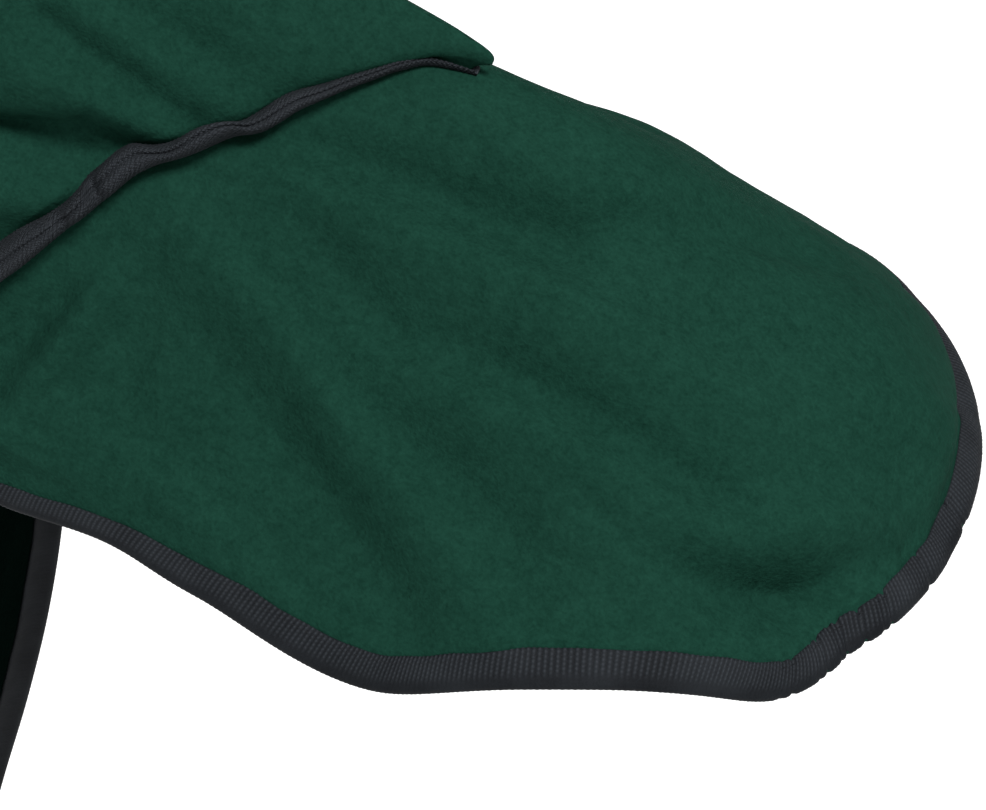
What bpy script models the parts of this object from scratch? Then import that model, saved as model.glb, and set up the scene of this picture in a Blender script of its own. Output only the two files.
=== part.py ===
"""Fleece blanket for a small standing horse or dog, held in its worn shape with nothing inside.

Blender 4.5, metres, +Z up. The wearer's length runs along X with the head towards -X. The origin is on
the back at the withers, where the wearer carries the blanket. The wearer's left side faces -Y.

The body panel lies over the back in one piece. Its cloth is laid out by two lengths on the cloth itself:
"along", from the withers to the tail, and "down", from the middle of the back to the hem. The chest flap
is laid out the same way, by its length down from the chest and its width across.
"""

import math

import bmesh
import bpy
import numpy as np

MM = 0.001

# Cloth and tape, in millimetres
FLEECE = 2.2
TAPE = 0.9
TAPE_SHOWS = 11.3
GAP = 0.3
# Room between a folded tape and a curved cloth edge
TAPE_ROOM = 0.65
# The folded tape's section: where its sides start to round over, and how far its fold narrows
TAPE_SIDE_START = 0.6
TAPE_FOLD_OUTSIDE = 0.55
TAPE_FOLD_INSIDE = 0.9

# How finely each piece is divided
PANEL_ROWS = 34
PANEL_COLUMNS = 40
CHEST_STEPS = 12
NECK_ROWS = 14
FLAP_ROWS = 24
FLAP_COLUMNS = 15
# Above one, the neck seam is divided more finely at the withers, and the neck piece near its seam
SEAM_SPACING = 1.3
NECK_SPACING = 1.7

# Steps of the sums that lay the cloth, points of the hem, and the reach of a surface normal
LAY_STEPS = 40
HEM_POINTS = 400
HEM_TEST_POINTS = 90
LAY_REACH = 1.0
NORMAL_REACH = 0.8

# Slope of the middle of the back, in degrees, at a length along it: (along, slope)
BACK = (
    (-150, 7),
    (-50, -2.5),
    (0, -5.5),
    (45, -10),
    (100, -23),
    (150, -21.5),
    (195, -43.5),
    (240, -60.5),
)

# How far the cloth lies above the wearer's withers
WITHERS_HEIGHT = 4.5

# Cross sections. The cloth turns down from the back over a length and reaches its steepest slope. It
# has a slope already beside the middle, reached within PEAK_REACH: (along, turn, steepest, peak)
PEAK_REACH = 9
SECTIONS = (
    (-130, 221, 77, 39),
    (-25, 193, 60.5, 38),
    (12, 237, 60, 33.5),
    (60, 233, 60, 21.5),
    (120, 225, 50.5, 15),
    (240, 216, 44.5, 0),
)

# Half of the panel's cut edge, from the chest round to the middle of the tail: (along, down)
HEM = (
    (-144, 150),
    (-142, 170),
    (-131, 191.5),
    (-101.5, 195),
    (-57.5, 191),
    (-19, 194.5),
    (58.5, 197.5),
    (136, 154),
    (191, 127.5),
    (214, 88),
    (229.5, 43.5),
    (233, 0),
)
REAR_CORNER = 8
# The tape holds the cloth flatter near the hem: what is left of the folds there, and how far in
HEM_FOLDS_LEFT = 0.3
HEM_CALM = 22

# The neck seam on the body panel, from the withers to the chest: (down, along)
NECK_SEAM = (
    (0, 2),
    (3.5, -11),
    (9, -21),
    (16, -30),
    (23.5, -39),
    (31, -47.5),
    (44.5, -59.5),
    (55.5, -73),
    (65.5, -87.5),
    (77, -97.5),
    (93, -110),
    (103, -118),
    (113.5, -126),
    (127, -136),
    (150, -144),
)

# How much lower a fold is towards its ends
FOLD_FADE = 1.4

# Folds of the body panel: a ridge, or below zero a trough, from one place on the cloth to another.
# Down is below zero on the left side: (along, down, along, down, width, height)
BODY_FOLDS = (
    (-58, -54, 56, -58, 9, 5.6),
    (52, -58, 148, -43, 10, 6),
    (146, -43, 200, 4, 13, 3.8),
    (-72, -71, 6, -117, 9, 5.6),
    (6, -117, 94, -162, 9, 5.8),
    (6, -99, 96, -101, 9, 4.2),
    (90, -100, 150, -94, 9, 5),
    (-2, -13, 55, -17, 8, 3.4),
    (55, -17, 88, -2, 9, 3),
    (-93, -121, -109, -170, 8, 4.6),
    (-80, -156, -38, -170, 9, 4.6),
    (-38, -170, 8, -182, 9, 4.6),
    (-125, -172, -50, -176, 9, 6),
    (115, -122, 149, -131, 8, 4),
    (-90, -99, -68, -116, 9, 3.4),
    (-32, -43, 30, -37, 11, -4.4),
    (30, -37, 110, 4, 13, -5.4),
    (34, -6, 69, 4, 8, -2.4),
    (-36, -130, 54, -171, 16, -4.4),
    (22, -115, 100, -146, 11, -3.6),
    (5, -75, 165, -66, 14, -5),
    (139, -112, 186, -92, 11, -8.5),
    (181, -94, 207, -60, 10, -5.6),
    (-120, -145, -100, -126, 8, -3.2),
    (-67, -85, -42, -128, 9, -3.4),
    (212, -62, 221, -20, 8, -3),
    (221, -20, 214, 52, 8, -3.4),
    (214, 52, 192, 104, 8, -3.4),
    (0, 72, 80, 68, 14, 2.6),
    (95, 56, 175, 46, 15, 2.8),
    (10, 102, 130, 106, 14, 5),
    (-66, 78, 15, 130, 12, 5),
    (25, 134, 90, 160, 13, 4.6),
    (-78, 158, 0, 180, 11, 4.2),
    (-96, 118, -110, 168, 9, 4),
    (-122, 172, -20, 180, 10, 5),
    (150, 110, 182, 86, 12, -5.6),
    (50, 134, 72, 172, 9, -3.8),
    (-30, 130, 56, 168, 12, -3.6),
    (-30, 52, 60, 48, 11, -2.6),
)

# The neck opening, on the wearer's middle plane: (x, z)
NECK_OPENING_TOP = (-187, 64)
NECK_OPENING_BOTTOM = (-246, -50)
NECK_OPENING_HALF_WIDTH = 54
# The neck piece is cut loose, so its crest stands up behind the withers
CREST_LIFT = 11
CREST_BACK = 13
# How far round from the crest that reaches, in degrees, and where along the neck piece it comes in
CREST_TURN = 42
CREST_LIFT_REACH = 0.05
CREST_BACK_AT = 0.06
CREST_BACK_REACH = 0.05
CREST_BACK_START = 0.05

# Its folds fade out over these parts of its length, at the seam and at its opening
NECK_CALM_SEAM = 0.05
NECK_CALM_OPENING = 0.1

# Folds of the neck piece, by its length (0 at the seam, 1 at its opening) and its turn round from the
# crest in degrees, below zero on the left: (length, turn, length, turn, width, height)
NECK_FOLDS = (
    (0.03, -56, 0.45, -64, 0.07, 3.2),
    (0.03, -44, 0.5, -49, 0.06, 3),
    (0.02, -26, 0.6, -34, 0.12, 2.2),
    (0.02, -66, 0.3, -79, 0.05, -5.5),
    (0.02, -80, 0.3, -92, 0.07, 4),
    (0.02, -102, 0.5, -118, 0.12, -4.5),
    (0.45, -125, 0.95, -120, 0.13, 3.5),
    (0.45, -84, 0.95, -88, 0.12, 3),
    (0.04, 86, 0.55, 108, 0.12, -4.5),
    (0.05, 62, 0.5, 70, 0.09, 3.2),
    (0.35, 36, 0.95, 40, 0.12, 3),
    (0.03, 46, 0.4, 50, 0.07, 2.4),
    (0.4, 130, 0.95, 138, 0.13, 3.5),
    (0.5, 82, 0.95, 86, 0.12, 2.5),
)

# The ridge of tape over the neck seam, at a turn round from the withers: (turn, height, half width)
RIDGE = (
    (0, 1.8, 1.3),
    (10, 3.0, 1.6),
    (20, 4.3, 2.0),
    (40, 6.5, 2.6),
    (80, 9.5, 3.3),
    (105, 11.0, 3.6),
    (125, 10.0, 3.1),
    (180, 9.0, 3.0),
)
RIDGE_LEAN = 0.35
# The ridge stands a little higher where it turns off the panel's front corners onto the chest
RIDGE_CORNER_LIFT = 2.2
# Room between the ridge and the curved cloth under it
RIDGE_ROOM = 0.7
# The ridge's section: how high its sides go, how wide its top is, and how far in its feet reach
RIDGE_SIDES = 0.6
RIDGE_TOP = 0.25
RIDGE_FEET = 0.5

# The chest flap down its middle, from the level of the panel's front corners. Its half width is that of
# its cut edge, and its edges curl to the rear: (forward, drop, half width, curl)
FLAP = (
    (0, 0, 88, 0),
    (13, 30, 82, 4),
    (14, 62, 70, 8),
    (1, 98, 60, 10),
    (-15, 135, 53, 10),
    (-22, 175, 50, 9),
    (-25, 220, 49, 9),
    (-25, 270, 49, 9),
    (-24, 320, 50, 8),
    (-23, 366, 50, 7),
)
# How far the seam hangs down on the chest, how much of its width the flap's top takes, how soon the flap
# reaches its own width, and how round its end is
CHEST_DROP = 58
FLAP_CORNER = 0.86
FLAP_WIDENING = 3.2
FLAP_END = 30
# Gaps at the seam, from the middle of the seam to the neck piece and to the flap
NECK_GAP = GAP * 1.2
FLAP_GAP = GAP * 1.5


def smooth(rows, at):
    """Reads a table of (place, value, ...) rows as a smooth curve."""
    table = np.array(rows, float)
    x, y = table[:, 0], table[:, 1:]
    slopes = np.gradient(y, x, axis=0)
    at = np.clip(np.asarray(at, float), x[0], x[-1])
    k = np.clip(np.searchsorted(x, at, side="right") - 1, 0, len(x) - 2)
    step = x[k + 1] - x[k]
    q = ((at - x[k]) / step)[..., None]
    step = step[..., None]
    value = (
        y[k] * (1 + 2 * q) * (1 - q) ** 2
        + slopes[k] * step * q * (1 - q) ** 2
        + y[k + 1] * q * q * (3 - 2 * q)
        + slopes[k + 1] * step * q * q * (q - 1)
    )
    return value[..., 0] if value.shape[-1] == 1 else value


def even(points, count):
    """Points of a line, spaced evenly along it."""
    run = np.concatenate([[0], np.cumsum(np.linalg.norm(np.diff(points, axis=0), axis=1))])
    want = np.linspace(0, run[-1], count)
    return np.column_stack([np.interp(want, run, column) for column in points.T])


def unit(v):
    return v / np.maximum(np.linalg.norm(v, axis=-1, keepdims=True), 1e-12)


def surface_normals(function, a, b, step):
    """Outward normals of a surface, from its neighbouring points."""
    across_a = function(a + step, b) - function(a - step, b)
    across_b = function(a, b + step) - function(a, b - step)
    return unit(np.cross(across_a, across_b))


def fold_height(rows, a, b):
    """Height of the folds at a place on the cloth. Each fades out towards its ends."""
    total = np.zeros(np.shape(a))
    for a1, b1, a2, b2, width, height in rows:
        da, db = a2 - a1, b2 - b1
        q = ((a - a1) * da + (b - b1) * db) / (da * da + db * db)
        near = np.clip(q, 0, 1)
        away = np.hypot(a - a1 - near * da, b - b1 - near * db)
        total = total + height * np.exp(-((away / width) ** 2)) * np.exp(-((FOLD_FADE * (near - 0.5)) ** 2))
    return total


# The middle of the back, worked out once from its slopes
BACK_ALONG = np.arange(-230, 262, 1.0)
BACK_SLOPE = np.radians(smooth(BACK, BACK_ALONG))
BACK_X = np.cumsum(np.cos(BACK_SLOPE))
BACK_Z = np.cumsum(np.sin(BACK_SLOPE))
BACK_X -= np.interp(0, BACK_ALONG, BACK_X)
BACK_Z -= np.interp(0, BACK_ALONG, BACK_Z) - WITHERS_HEIGHT


def lay(along, down):
    """The place of a point of the cloth, laid over the wearer without folds."""
    along, down = np.broadcast_arrays(np.asarray(along, float), np.asarray(down, float))
    turn, steepest, peak = np.moveaxis(smooth(SECTIONS, along), -1, 0)
    part = np.linspace(0, 1, LAY_STEPS + 1)
    reach = np.abs(down)[..., None] * part
    bend = np.sin(np.clip(reach / turn[..., None], 0, 1) * math.pi / 2)
    first = 1 - np.exp(-reach / PEAK_REACH)
    angle = np.radians(peak)[..., None] * first + np.radians(steepest - peak)[..., None] * bend
    step = np.abs(down) / LAY_STEPS
    out = (np.cos(angle[..., 1:]) + np.cos(angle[..., :-1])).sum(-1) * step / 2
    drop = (np.sin(angle[..., 1:]) + np.sin(angle[..., :-1])).sum(-1) * step / 2
    lean = np.interp(along, BACK_ALONG, BACK_SLOPE) / 2
    x = np.interp(along, BACK_ALONG, BACK_X) + drop * np.sin(lean)
    z = np.interp(along, BACK_ALONG, BACK_Z) - drop * np.cos(lean)
    return np.stack([x, np.sign(down) * out, z], -1)


def hem_line(first, last, count):
    """The hem between two of its rows. Rows past the middle of the tail are on the right side."""
    half = np.array(HEM, float)
    whole = np.concatenate([half * (1, -1), half[::-1][1:]])
    order = np.arange(len(whole), dtype=float)
    fine = smooth(np.column_stack([order, whole]), np.linspace(first, last, HEM_POINTS))
    return even(fine, count)


def from_hem(along, down):
    """How far in from the hem a place on the cloth lies."""
    hem = hem_line(0, len(HEM) - 1, HEM_TEST_POINTS)
    place = np.stack([along, -np.abs(down)], -1)[..., None, :]
    return np.linalg.norm(place - hem, axis=-1).min(-1)


def folded(along, down):
    """The middle of the body panel's cloth, with its folds."""
    along, down = np.broadcast_arrays(np.asarray(along, float), np.asarray(down, float))
    calm = 1 - (1 - HEM_FOLDS_LEFT) * np.exp(-((from_hem(along, down) / HEM_CALM) ** 2))
    away = fold_height(BODY_FOLDS, along, down) * calm
    return lay(along, down) + surface_normals(lay, along, down, LAY_REACH) * away[..., None]


def body_normals(along, down):
    return surface_normals(folded, along, down, NORMAL_REACH)


def body_surface(along, down, out):
    """A point of the body panel, moved out from the middle of its cloth."""
    return folded(along, down) + body_normals(along, down) * np.asarray(out, float)[..., None]


def neck_seam(down):
    return smooth(NECK_SEAM, np.abs(down))


def panel_layout():
    """The panel's grid on the cloth, filled in between its seam, its side hems and its rear hem."""
    last = 2 * (len(HEM) - 1)
    u = np.linspace(0, 1, PANEL_ROWS)[:, None, None]
    v = np.linspace(0, 1, PANEL_COLUMNS)[None, :, None]
    front = seam_on_cloth()[None]
    rear = hem_line(REAR_CORNER, last - REAR_CORNER, PANEL_COLUMNS)[None]
    left = hem_line(0, REAR_CORNER, PANEL_ROWS)[:, None]
    right = left * (1, -1)
    ruled = (1 - u) * front + u * rear + (1 - v) * left + v * right
    front_corners = (1 - v) * front[:, :1] + v * front[:, -1:]
    rear_corners = (1 - v) * rear[:, :1] + v * rear[:, -1:]
    return ruled - (1 - u) * front_corners - u * rear_corners


def seam_on_cloth():
    """The neck seam from the left front corner over the withers to the right one."""
    reach = NECK_SEAM[-1][0]
    part = np.linspace(-1, 1, PANEL_COLUMNS)
    down = reach * np.sign(part) * np.abs(part) ** SEAM_SPACING
    return np.column_stack([neck_seam(down), down])


# The chest flap

def flap_row(down):
    """Forward, drop, half width and curl at a length down the middle of the flap."""
    table = np.array(FLAP, float)
    run = np.concatenate([[0], np.cumsum(np.hypot(*np.diff(table[:, :2], axis=0).T))])
    return smooth(np.column_stack([run, table]), down)


def flap_length():
    table = np.array(FLAP, float)
    return float(np.hypot(*np.diff(table[:, :2], axis=0).T).sum())


def flap_middle(down, across):
    down, across = np.broadcast_arrays(np.asarray(down, float), np.asarray(across, float))
    corner = lay(np.array(float(HEM[0][0])), np.array(float(HEM[0][1])))
    forward, drop, half, curl = np.moveaxis(flap_row(down), -1, 0)
    below = np.minimum(down, 0)
    x = corner[0] - forward + curl * (across / half) ** 2
    z = corner[2] - drop - below
    return np.stack([x, across, z], -1)


def flap_surface(down, across, out):
    """A point of the chest flap, moved out from the middle of its cloth, forwards."""
    normal = -surface_normals(flap_middle, down, across, NORMAL_REACH)
    return flap_middle(down, across) + normal * np.asarray(out, float)[..., None]


def chest_edge(across):
    """How far down the flap's own length the neck seam crosses it."""
    reach = abs(corner_width())
    return CHEST_DROP * np.sqrt(np.maximum(1 - (np.asarray(across, float) / reach) ** 2, 0))


def chest_across():
    """Places across the chest where the seam passes, from the right to the left."""
    return corner_width() * np.cos(np.linspace(0, math.pi, CHEST_STEPS + 2)[1:-1])


def corner_width():
    return float(lay(np.array(float(HEM[0][0])), np.array(float(HEM[0][1])))[1])


def flap_layout():
    length = flap_length()
    v = np.sin(np.linspace(-math.pi / 2, math.pi / 2, FLAP_COLUMNS))
    top_across = v * corner_width() * FLAP_CORNER
    top = chest_edge(top_across) + FLAP_GAP
    bottom = length - FLAP_END * (1 - np.sqrt(np.maximum(1 - v * v, 0)))
    u = np.linspace(0, 1, FLAP_ROWS)[:, None]
    down = top + (bottom - top) * u
    half = flap_row(down)[..., 2]
    blend = np.clip(u * FLAP_WIDENING, 0, 1)
    across = top_across * (1 - blend) + v * half * blend
    return np.stack([down, across], -1)


def flap_edge():
    """The flap's bound edge on its cloth: down the left side, round the end and up the right side."""
    grid = flap_layout()
    side = grid[:, 0]
    end = grid[-1]
    return np.concatenate([side[1:], end[1:-1], side[:0:-1] * (1, -1)])


# The ring that the neck seam makes

def seam_ring():
    """Middle points of the neck seam all round, from the left front corner over the withers to the
    right one and back across the chest, with its outward directions."""
    cloth = seam_on_cloth()
    over = folded(cloth[:, 0], cloth[:, 1])
    out = body_normals(cloth[:, 0], cloth[:, 1])
    across = chest_across()
    chest = flap_middle(chest_edge(across), across)
    chest_out = -surface_normals(flap_middle, chest_edge(across), across, NORMAL_REACH)
    return np.concatenate([over, chest]), np.concatenate([out, chest_out])


def ring_forward(ring, ring_out):
    """The direction across the seam, from the body to the neck, at each ring point."""
    return unit(np.cross(ring_out, np.roll(ring, -1, 0) - np.roll(ring, 1, 0)))


def turn_round(ring):
    """Each ring point's turn round the neck, in degrees: 0 at the crest, below zero on the left."""
    step = np.linalg.norm(np.roll(ring, -1, 0) - ring, axis=1)
    run = np.concatenate([[0], np.cumsum(step)[:-1]])
    start = np.interp(PANEL_COLUMNS / 2 - 0.5, np.arange(len(ring)), run)
    return ((run - start) / step.sum() * 360 + 180) % 360 - 180


def opening_point(turn):
    top = np.array([NECK_OPENING_TOP[0], 0, NECK_OPENING_TOP[1]], float)
    bottom = np.array([NECK_OPENING_BOTTOM[0], 0, NECK_OPENING_BOTTOM[1]], float)
    angle = np.radians(turn)[..., None]
    side = np.array([0, NECK_OPENING_HALF_WIDTH, 0.0])
    return (top + bottom) / 2 + (top - bottom) / 2 * np.cos(angle) + side * np.sin(angle)


def neck_middle(length, ring, turn):
    """The middle of the neck piece's cloth, without its folds."""
    q = length[..., None]
    straight = ring * (1 - q) + opening_point(turn) * q
    crest = np.exp(-((turn / CREST_TURN) ** 2))[..., None]
    lift = np.array([0, 0, CREST_LIFT]) * (1 - np.exp(-q / CREST_LIFT_REACH)) * (1 - q)
    push = np.exp(-(((q - CREST_BACK_AT) / CREST_BACK_REACH) ** 2)) * np.clip(q / CREST_BACK_START, 0, 1)
    return straight + crest * (lift + np.array([CREST_BACK, 0, 0]) * push)


def neck_surfaces(outs):
    """The neck piece's grid, once for each distance out from the middle of its cloth."""
    ring, ring_out = seam_ring()
    turn = turn_round(ring)
    start = ring + ring_forward(ring, ring_out) * NECK_GAP
    length = np.linspace(0, 1, NECK_ROWS) ** NECK_SPACING
    rings = np.broadcast_to(start, (NECK_ROWS, *start.shape))
    lengths = np.broadcast_to(length[:, None], rings.shape[:2])
    turns = np.broadcast_to(turn, rings.shape[:2])

    def normals_of(grid):
        along = np.gradient(grid, axis=0)
        across = np.roll(grid, -1, 1) - np.roll(grid, 1, 1)
        return unit(np.cross(across, along))

    plain = neck_middle(lengths, rings, turns)
    scaled = [(a, b / 100, c, d / 100, w, h) for a, b, c, d, w, h in NECK_FOLDS]
    fade = np.clip(lengths / NECK_CALM_SEAM, 0, 1) * np.clip((1 - lengths) / NECK_CALM_OPENING, 0, 1)
    folds = fold_height(scaled, lengths, turns / 100) * fade
    middle = plain + normals_of(plain) * folds[..., None]
    normal = normals_of(middle)
    normal[0] = ring_out
    return [middle + normal * out for out in outs], middle, normal


# Making solids

def material(name, colour, roughness):
    made = bpy.data.materials.new(name)
    made.use_nodes = True
    shader = made.node_tree.nodes["Principled BSDF"]
    shader.inputs["Base Color"].default_value = (*colour, 1)
    shader.inputs["Roughness"].default_value = roughness
    shader.inputs["Metallic"].default_value = 0
    return made


def add_object(name, points, faces, look):
    mesh = bpy.data.meshes.new(name)
    mesh.from_pydata([tuple(p) for p in points * MM], [], faces)
    bm = bmesh.new()
    bm.from_mesh(mesh)
    bmesh.ops.triangulate(bm, faces=bm.faces)
    bmesh.ops.recalc_face_normals(bm, faces=bm.faces)
    bm.to_mesh(mesh)
    bm.free()
    mesh.shade_smooth()
    mesh.set_sharp_from_angle(angle=math.radians(50))
    mesh.materials.append(look)
    made = bpy.data.objects.new(name, mesh)
    bpy.context.scene.collection.objects.link(made)
    return made


def wall(name, outer, inner, look, ring=False):
    """A closed wall between two grids of points. A ring's last column joins its first."""
    rows, columns = outer.shape[:2]
    points = np.concatenate([outer.reshape(-1, 3), inner.reshape(-1, 3)])
    across = columns if ring else columns - 1

    def at(row, column, side=0):
        return (side * rows + row) * columns + column % columns

    faces = []
    for r in range(rows - 1):
        for c in range(across):
            faces.append((at(r, c), at(r, c + 1), at(r + 1, c + 1), at(r + 1, c)))
            faces.append((at(r, c, 1), at(r + 1, c, 1), at(r + 1, c + 1, 1), at(r, c + 1, 1)))
    for c in range(across):
        faces.append((at(0, c), at(0, c, 1), at(0, c + 1, 1), at(0, c + 1)))
        end = rows - 1
        faces.append((at(end, c), at(end, c + 1), at(end, c + 1, 1), at(end, c, 1)))
    if not ring:
        end = columns - 1
        for r in range(rows - 1):
            faces.append((at(r, 0), at(r + 1, 0), at(r + 1, 0, 1), at(r, 0, 1)))
            faces.append((at(r, end), at(r, end, 1), at(r + 1, end, 1), at(r + 1, end)))
    return add_object(name, points, faces, look)


def sweep(name, sections, look, ring=False):
    """A closed solid through a row of closed sections, with its ends closed or joined in a ring."""
    count, around = sections.shape[:2]
    faces = []
    for i in range(count if ring else count - 1):
        j = (i + 1) % count
        for k in range(around):
            m = (k + 1) % around
            faces.append((i * around + k, i * around + m, j * around + m, j * around + k))
    if not ring:
        faces.append(tuple(range(around))[::-1])
        faces.append(tuple((count - 1) * around + k for k in range(around)))
    return add_object(name, sections.reshape(-1, 3), faces, look)


def channel():
    """The folded tape's section: how far in from the cloth's edge, and how far out from its middle."""
    inner = FLEECE / 2 + TAPE_ROOM
    outer = inner + TAPE
    legs = (TAPE_SHOWS, TAPE_SHOWS / 2, TAPE_SIDE_START)
    edge = -GAP - TAPE
    section = [(d, outer) for d in legs]
    section += [(edge, outer * TAPE_FOLD_OUTSIDE), (edge, -outer * TAPE_FOLD_OUTSIDE)]
    section += [(d, -outer) for d in legs[::-1]]
    section += [(d, -inner) for d in legs[:2]]
    section += [(-GAP, -inner * TAPE_FOLD_INSIDE), (-GAP, inner * TAPE_FOLD_INSIDE)]
    section += [(d, inner) for d in legs[:2][::-1]]
    return np.array(section)


def bind(name, path, surface, look):
    """Folds tape over the edge that runs along path, given by places on the cloth."""
    travel = unit(np.gradient(path, axis=0))
    inward = np.column_stack([-travel[:, 1], travel[:, 0]])
    section = channel()
    place = path[:, None, :] + inward[:, None, :] * section[None, :, :1]
    out = np.broadcast_to(section[None, :, 1], place.shape[:2])
    return sweep(name, surface(place[..., 0], place[..., 1], out), look)


# The pieces

def body_panel(look):
    layout = panel_layout()
    half = np.full(layout.shape[:2], FLEECE / 2)
    outer = body_surface(layout[..., 0], layout[..., 1], half)
    inner = body_surface(layout[..., 0], layout[..., 1], -half)
    return wall("body_panel", outer, inner, look)


def hem_binding(look):
    last = 2 * (len(HEM) - 1)
    side = hem_line(0, REAR_CORNER, PANEL_ROWS)
    rear = hem_line(REAR_CORNER, last - REAR_CORNER, PANEL_COLUMNS)
    path = np.concatenate([side, rear[1:-1], side[::-1] * (1, -1)])
    return bind("hem_binding", path[1:-1], body_surface, look)


def neck_piece(look):
    (outer, inner), _, _ = neck_surfaces((FLEECE / 2, -FLEECE / 2))
    return wall("neck_piece", outer, inner, look, ring=True)


def neck_edge_binding(look):
    _, middle, normal = neck_surfaces(())
    edge, out = middle[-1], normal[-1]
    inward = unit(middle[-2] - middle[-1])
    section = channel()
    place = edge[:, None] + inward[:, None] * section[None, :, :1] + out[:, None] * section[None, :, 1:]
    return sweep("neck_edge_binding", place, look, ring=True)


def below_seam(reach, out):
    """Points beside the seam on the body panel, and then across the chest on the flap."""
    cloth = seam_on_cloth()
    travel = unit(np.gradient(cloth, axis=0))
    side = reach[:PANEL_COLUMNS]
    place = cloth + np.column_stack([travel[:, 1], -travel[:, 0]]) * side[:, None]
    over = body_surface(place[:, 0], place[:, 1], np.full(len(side), out))
    across = chest_across()
    chest = flap_surface(chest_edge(across) + reach[PANEL_COLUMNS:], across, np.full(len(across), out))
    return np.concatenate([over, chest])


def above_seam(reach, out):
    """Points beside the seam on the neck piece, all round."""
    (rows,), _, _ = neck_surfaces((out,))
    step = np.linalg.norm(np.diff(rows[:6], axis=0), axis=2)
    run = np.concatenate([np.zeros((1, step.shape[1])), np.cumsum(step, axis=0)])
    found = [
        [np.interp(reach[i], run[:, i], rows[:6, i, axis]) for axis in range(3)]
        for i in range(len(reach))
    ]
    return np.array(found)


def neck_seam_binding(look):
    """A ridge of tape over the seam, standing on the cloth on both sides of it."""
    ring, ring_out = seam_ring()
    height, half = np.moveaxis(smooth(RIDGE, np.abs(turn_round(ring))), -1, 0)
    forward = ring_forward(ring, ring_out)
    seat = FLEECE / 2 + RIDGE_ROOM
    foot_body = below_seam(half, seat)
    foot_neck = above_seam(half, seat)
    middle = (foot_body + foot_neck) / 2
    base = ring + ring_out * seat
    lean = unit(ring_out - forward * RIDGE_LEAN)
    top = middle + lean * height[:, None]
    spread = (foot_neck - foot_body) * RIDGE_TOP
    section = [
        foot_body,
        foot_body + lean * height[:, None] * RIDGE_SIDES,
        top - spread,
        top + spread,
        foot_neck + lean * height[:, None] * RIDGE_SIDES,
        foot_neck,
        above_seam(half * RIDGE_FEET, seat),
        base,
        below_seam(half * RIDGE_FEET, seat),
    ]
    lift = np.zeros(len(ring))
    lift[[0, PANEL_COLUMNS - 1]] = RIDGE_CORNER_LIFT
    section = np.stack(section, axis=1) + (ring_out * lift[:, None])[:, None]
    return sweep("neck_seam_binding", section, look, ring=True)


def chest_flap(look):
    layout = flap_layout()
    half = np.full(layout.shape[:2], FLEECE / 2)
    front = flap_surface(layout[..., 0], layout[..., 1], half)
    rear = flap_surface(layout[..., 0], layout[..., 1], -half)
    return wall("chest_flap", front, rear, look)


def flap_binding(look):
    return bind("flap_binding", flap_edge(), flap_surface, look)


def main():
    for old in list(bpy.data.objects):
        bpy.data.objects.remove(old)
    fleece = material("green fleece", (0.0144, 0.0578, 0.0395), 0.95)
    tape = material("black woven tape", (0.0232, 0.0273, 0.0319), 0.6)
    body_panel(fleece)
    hem_binding(tape)
    neck_piece(fleece)
    neck_edge_binding(tape)
    neck_seam_binding(tape)
    chest_flap(fleece)
    flap_binding(tape)


main()
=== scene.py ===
import math

import bmesh
import bpy
import numpy as np
from mathutils import Matrix, Vector


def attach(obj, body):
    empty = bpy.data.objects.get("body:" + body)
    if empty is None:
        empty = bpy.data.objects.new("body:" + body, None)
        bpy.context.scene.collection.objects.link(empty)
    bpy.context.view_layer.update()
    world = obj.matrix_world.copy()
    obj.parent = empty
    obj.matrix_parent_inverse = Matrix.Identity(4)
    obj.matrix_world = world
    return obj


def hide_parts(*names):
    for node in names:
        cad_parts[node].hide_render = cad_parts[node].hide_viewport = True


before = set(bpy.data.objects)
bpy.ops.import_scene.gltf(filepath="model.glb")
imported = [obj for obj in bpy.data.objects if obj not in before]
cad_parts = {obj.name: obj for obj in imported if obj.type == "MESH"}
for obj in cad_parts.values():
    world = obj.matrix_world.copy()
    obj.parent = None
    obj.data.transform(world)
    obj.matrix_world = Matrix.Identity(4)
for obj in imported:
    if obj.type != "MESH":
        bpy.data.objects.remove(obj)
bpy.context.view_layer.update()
mm = 0.001

# Sizes and places below are in millimetres, in the frame's own axes: the head towards -X, the
# wearer's left side towards -Y and the origin on the back at the withers.

camera = {
    "target": (40, -40, -60),  # a place on the near flank, where the scale was read
    "distance": 1300,
    "azimuth": 3,
    "elevation": 38.5,
    "roll": 18,
    "pixelsPerMillimetre": 3.05,
    "targetPixel": (506.0, 332.7),
    "pictureSize": (986, 810),
    "sensor": 36,
    "clip": (0.05, 30),  # metres
}


def makeCamera(c):
    a, e, r = (math.radians(c[key]) for key in ("azimuth", "elevation", "roll"))
    right = Vector((math.cos(a), math.sin(a), 0))
    back = Vector((math.sin(a) * math.cos(e), -math.cos(a) * math.cos(e), math.sin(e)))
    up = back.cross(right)
    right, up = right * math.cos(r) + up * math.sin(r), up * math.cos(r) - right * math.sin(r)
    focal = c["pixelsPerMillimetre"] * c["distance"]
    place = Vector(c["target"]) + back * c["distance"]
    # the picture's middle is a little below the target, so the camera turns to it
    halfWidth, halfHeight = (size / 2 for size in c["pictureSize"])
    x, y = c["targetPixel"]
    look = (-back + right * (halfWidth - x) / focal + up * (y - halfHeight) / focal).normalized()
    right = look.cross(up).normalized()
    up = right.cross(look)
    data = bpy.data.cameras.new("photoCamera")
    data.sensor_width = c["sensor"]
    data.lens = focal * c["sensor"] / c["pictureSize"][0]
    data.clip_start, data.clip_end = c["clip"]
    made = bpy.data.objects.new("photoCamera", data)
    turned = Matrix((right, up, -look)).transposed().to_4x4()
    made.matrix_world = Matrix.Translation(place * mm) @ turned
    bpy.context.scene.collection.objects.link(made)
    bpy.context.scene.camera = made


makeCamera(camera)
print("camera: set")


# The cloth's shape. The same few tables and formulas as the solids, read more finely, with the
# near side's folds steeper above than below.

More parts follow.
